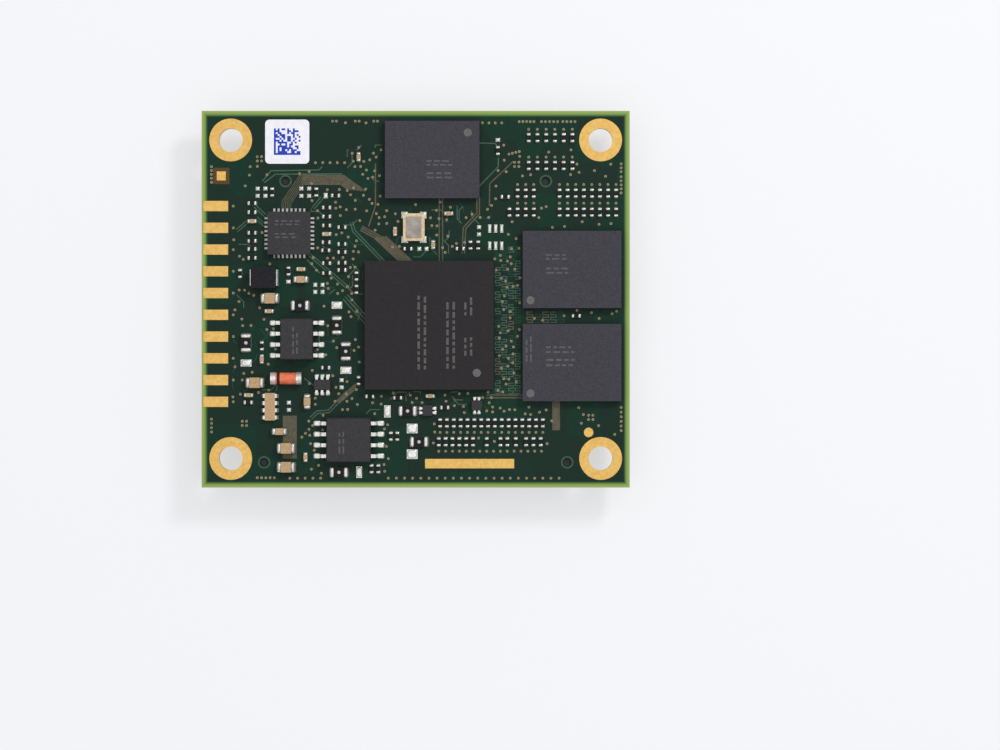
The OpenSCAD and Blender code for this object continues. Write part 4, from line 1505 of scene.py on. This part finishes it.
TOP_PLAN = Plan(
    pads="tinned_pads_top",
    label="label_top",
    terminals=("resistor_terminals_top", "jumper_terminals", "capacitor_terminals_top"),
    leads=("eeprom_leads", "serial_flash_leads", "small_ic_leads_top"),
    fiducial=(-22.7, 14.4),
    tracks=(
        Track(((-13.3, 13.95), (-8.6, 13.95), (-6.2, 12.2)), Tone.BROWN, 0.19, 6, 0.2, 0.35),
        Track(((-15.1, 10.4), (-15.1, 11.3), (-13.3, 13.95), (-13.1, 13.95)), Tone.BROWN, 0.1, 6, 0.2),
        Track(((-17.9, 13.8), (-16.9, 15.0), (-11.3, 15.1), (-10.9, 15.5))),
        Track(((-17.7, 13.6), (-16.4, 14.6), (-8.6, 14.65))),
        Track(((-6.35, 8.3), (-4.25, 7.15)), Tone.BROWN, 0.18, 3, 0.25),
        Track(((-0.8, 4.1), (-4.6, 7.65)), Tone.BROWN, 0.2, 6, 0.2, 0.2),
        Track(((-4.7, 15.9), (-4.7, 10.9), (-5.5, 8.5)), Tone.BROWN, 0.16),
        Track(((-18.8, 10.9), (-17.3, 9.5)), width=0.14, count=2),
        Track(((-18.6, 9.5), (-17.6, 8.6)), width=0.14, count=2),
        Track(((-7.5, 9.0), (-7.2, 7.95), (-3.6, 4.2)), count=2),
        Track(((-12.5, 5.3), (-8.0, 1.4)), width=0.14, count=2),
        Track(((-12.7, 4.6), (-11.2, 3.05))),
        Track(((-8.25, 0.3), (-5.6, -2.7)), width=0.14, count=3, pitch=0.36),
        Track(((7.3, 18.25), (9.3, 18.2), (9.5, 17.9))),
        Track(((9.65, 16.55), (9.65, 15.5), (7.3, 13.05))),
        Track(((11.4, 16.1), (8.65, 13.5), (8.6, 10.9)), Tone.BROWN),
        Track(((7.3, 11.9), (7.3, 10.0), (5.7, 8.3), (5.55, 5.35)), Tone.BROWN, count=2),
        Track(((2.95, 11.9), (2.95, 4.3)), Tone.BROWN, 0.14, 2, 0.4),
        Track(((4.85, 10.95), (4.85, 9.4), (5.35, 8.85))),
        Track(((-14.7, -13.6), (-14.7, -18.6)), Tone.BROWN, 1.65),
        Track(((-12.25, -13.9), (-11.5, -13.2), (-10.15, -13.1), (-8.0, -10.85)), width=0.14, count=2),
        Track(((-9.1, -12.0), (-6.8, -10.0)), Tone.BROWN, 0.18, 3, 0.2, 0.2),
        Track(((-13.0, -9.25), (-11.85, -10.1))),
        Track(((8.2, -11.35), (12.6, -11.35)), Tone.BROWN, 0.16, 2, 0.32),
        Track(((16.4, -11.7), (16.4, -15.3)), Tone.BROWN, 0.9),
        Track(((-20.9, 8.0), (-19.6, 9.1)), width=0.14, count=2),
        Track(((-12.0, 10.6), (-10.9, 11.9)), width=0.14, count=2),
    ),
    fields=(
        Wander((-12.2, 0.6), (-6.2, 12.0), 22),
        Wander((-21.4, -11.6), (-16.2, 8.0), 16),
        Wander((-12.4, -12.5), (-6.3, 0.0), 16),
        Wander((-3.0, 4.8), (9.0, 11.5), 16),
        Wander((-6.0, -13.4), (9.0, -10.8), 12),
        Wander((-8.0, 13.0), (-4.0, 18.0), 8),
    ),
    meanders=(
        Meander((9.3, -11.0), (12.4, 7.2), 4),
        Meander((13.0, -2.7), (17.6, -1.2), 5),
    ),
    rows=(
        Row((12.1, 20.75), (0.43, 0), 5),
        Row((14.7, 20.75), (0.47, 0), 5),
        Row((17.2, 20.75), (0.47, 0), 5),
        Row((7.8, 20.6), (0.75, 0), 4),
        Row((10.9, 16.95), (0.4, 0.1), 4),
        Row((-9.7, 20.8), (0.45, 0), 2),
        Row((-7.05, 20.8), (0.45, 0), 2),
        Row((-4.9, 20.8), (0.45, 0), 2),
        Row((-8.2, 20.6), (2.4, 0), 2),
        Row((-11.7, 15.95), (0.85, 0), 5),
        Row((-23.85, 15.5), (0, -0.46), 5),
        Row((-23.85, -14.0), (0, -0.5), 5),
        Row((24.0, 16.7), (0, -0.45), 5),
        Row((24.0, 14.3), (0, -0.47), 5),
        Row((24.0, -9.4), (0, -0.54), 13),
        Row((13.2, 19.85), (1.02, 0), 6),
        Row((13.2, 16.6), (1.02, 0), 6),
        Row((11.9, 13.4), (0.95, 0), 3),
        Row((16.8, 13.4), (0.943, 0), 8),
        Row((11.9, 11.22), (0.95, 0), 3),
        Row((16.8, 11.22), (0.943, 0), 8),
        Row((-21.3, -11.98), (0, 2.54), 10),
        Row((-13.3, -16.1), (0.42, 0.45), 4),
        Row((-18.5, -20.85), (0.5, 0), 5),
        Row((-14.7, -20.9), (0.9, 0), 5),
        Row((-3.2, -20.9), (0.95, 0), 22),
        Row((2.85, -15.55), (0.8, 0), 16),
        Row((2.7, -17.75), (0.8, 0), 16),
    ),
    grids=((-18.25, 16.4), (11.8, 15.75), (20.45, -13.8), (-20.0, -14.5)),
    scatters=(
        Scatter((-20.5, 12.8), (-12.0, 16.2), 8),
        Scatter((-7.6, 14.0), (-3.9, 17.8), 16),
        Scatter((-12.3, 8.0), (-3.2, 13.2), 30),
        Scatter((-12.3, 0.5), (-6.5, 8.0), 26),
        Scatter((-21.5, -12.0), (-16.3, 8.0), 28),
        Scatter((-12.5, -12.5), (-6.3, 0.0), 28),
        Scatter((-6.2, -13.3), (9.0, -10.7), 22),
        Scatter((9.2, -11.0), (12.4, 8.0), 48),
        Scatter((-3.0, 5.0), (9.0, 11.5), 26),
        Scatter((9.0, 8.0), (24.0, 18.0), 26),
        Scatter((2.0, -18.0), (16.0, -12.5), 16),
        Scatter((-13.0, -20.5), (-3.0, -12.6), 18),
        Scatter((12.6, -2.8), (24.0, -1.1), 8),
        Scatter((18.5, -16.0), (23.5, -12.2), 5),
    ),
    marks={
        "processor": (
            MarkRow((-0.85, -5.15), (-0.85, 3.45), 1.3),
            MarkRow((2.5, -5.05), (2.5, 3.25), 1.3),
            MarkRow((4.55, -3.55), (4.55, -1.15), 1.2),
            MarkRow((4.55, 1.15), (4.55, 3.45), 1.2),
        ),
        "flash_memory": (
            MarkRow((-0.65, -0.4), (2.85, -0.4), 0.8),
            MarkRow((-0.65, -1.85), (2.85, -1.85), 0.9),
        ),
        "working_memory_a": (
            MarkRow((-3.05, 1.45), (0.05, 1.45), 0.8),
            MarkRow((-3.05, -0.15), (0.05, -0.15), 0.9),
        ),
        "working_memory_b": (
            MarkRow((-3.05, 1.5), (0.85, 1.5), 1.0),
            MarkRow((-3.05, 0.0), (0.85, 0.0), 1.1),
            MarkRow((-5.05, 0.1), (-5.05, 3.4), 0.9),
        ),
        "network_chip": (
            MarkRow((-1.65, 1.2), (1.55, 1.2), 0.7),
            MarkRow((-1.65, -0.3), (1.55, -0.3), 0.7),
        ),
        "eeprom_body": (MarkRow((-0.15, -1.73), (-0.15, 1.67), 0.8),),
        "serial_flash_body": (MarkRow((-0.8, -1.6), (-0.8, 1.6), 0.8),),
    },
    dots={
        "processor": Dot((1, -1), 1.95),
        "flash_memory": Dot((1, 1), 1.35),
        "working_memory_a": Dot((-1, -1), 0.9),
        "working_memory_b": Dot((-1, -1), 0.9),
    },
)

LOW_PLAN = Plan(
    pads="tinned_pads_low",
    label="label_low",
    terminals=(
        "resistor_terminals_low", "capacitor_terminals_low", "bead_terminals", "choke_terminals_low"),
    leads=("switch_leads",),
    fiducial=(22.0, 14.45),
    tracks=(
        Track(((16.0, 16.0), (20.6, 11.4), (20.6, 8.4)), width=0.16, count=4, pitch=0.36),
        Track(((16.3, 11.8), (19.4, 8.7), (19.4, 3.0)), width=0.16, count=3, pitch=0.36),
        Track(((3.7, 7.0), (10.0, 7.0), (11.2, 3.6)), Tone.BROWN, 1.2),
        Track(((5.0, -0.6), (8.0, -0.6), (9.2, 0.6)), Tone.DEEP, 0.5),
        Track(((-12.0, -2.0), (-4.0, -2.0), (-1.5, 0.5)), Tone.DEEP, 0.16, 5, 0.34),
        Track(((-20.0, 2.0), (-10.0, 2.0), (-6.0, 6.0)), count=4, pitch=0.34),
        Track(((14.9, -6.6), (14.9, -7.8)), Tone.BROWN, 0.9),
    ),
    fields=(
        Wander((-22.0, -12.0), (-6.0, 11.5), 40),
        Wander((-6.0, -12.0), (6.0, 11.5), 36),
        Wander((6.0, -12.0), (21.0, 11.5), 30),
    ),
    meanders=(
        Meander((-12.4, -9.0), (-9.3, 7.0), 4),
        Meander((-22.0, 3.4), (-13.4, 6.0), 9),
    ),
    rows=(
        Row((23.85, 15.6), (0, -0.6), 4),
        Row((23.9, -14.2), (0, -0.6), 4),
        Row((-24.0, -9.4), (0, -0.53), 13),
        Row((16.8, -20.95), (0.6, 0), 4),
        Row((21.3, -11.98), (0, 2.54), 10),
        Row((-14.0, -12.4), (1.0, 0), 29),
    ),
    grids=((18.3, 16.45), (20.0, -14.5), (-20.35, -13.65)),
    scatters=(
        Scatter((-23.0, -12.2), (-6.0, 12.0), 130),
        Scatter((-6.0, -12.2), (6.0, 12.0), 120),
        Scatter((6.0, -12.2), (21.0, 12.0), 110),
    ),
    marks={
        "power_chip": (
            MarkRow((-2.05, 1.55), (1.65, 1.55), 0.6),
            MarkRow((-2.05, 0.45), (1.65, 0.45), 0.6),
            MarkRow((-2.05, -0.65), (1.65, -0.65), 0.6),
            MarkRow((-2.05, -1.75), (1.65, -1.75), 0.6),
        ),
    },
    dots={"power_chip": Dot((-1, 1), 0.7, 0.24)},
)


def main() -> None:
    """Load the frame, dress it and set up the studio."""
    logging.basicConfig(level=logging.INFO, format="%(name)s: %(message)s")
    frame = Frame(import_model())
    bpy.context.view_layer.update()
    frame.dress()
    works: list[Work] = [*TOP_PLAN.works(frame, frame.top), *LOW_PLAN.works(frame, frame.low)]
    works += [HoleRims(frame), DiodeBand(frame), JumperDots(frame), Studio(frame.top.level)]
    for work in works:
        work.build()


if __name__ == "__main__":
    main()
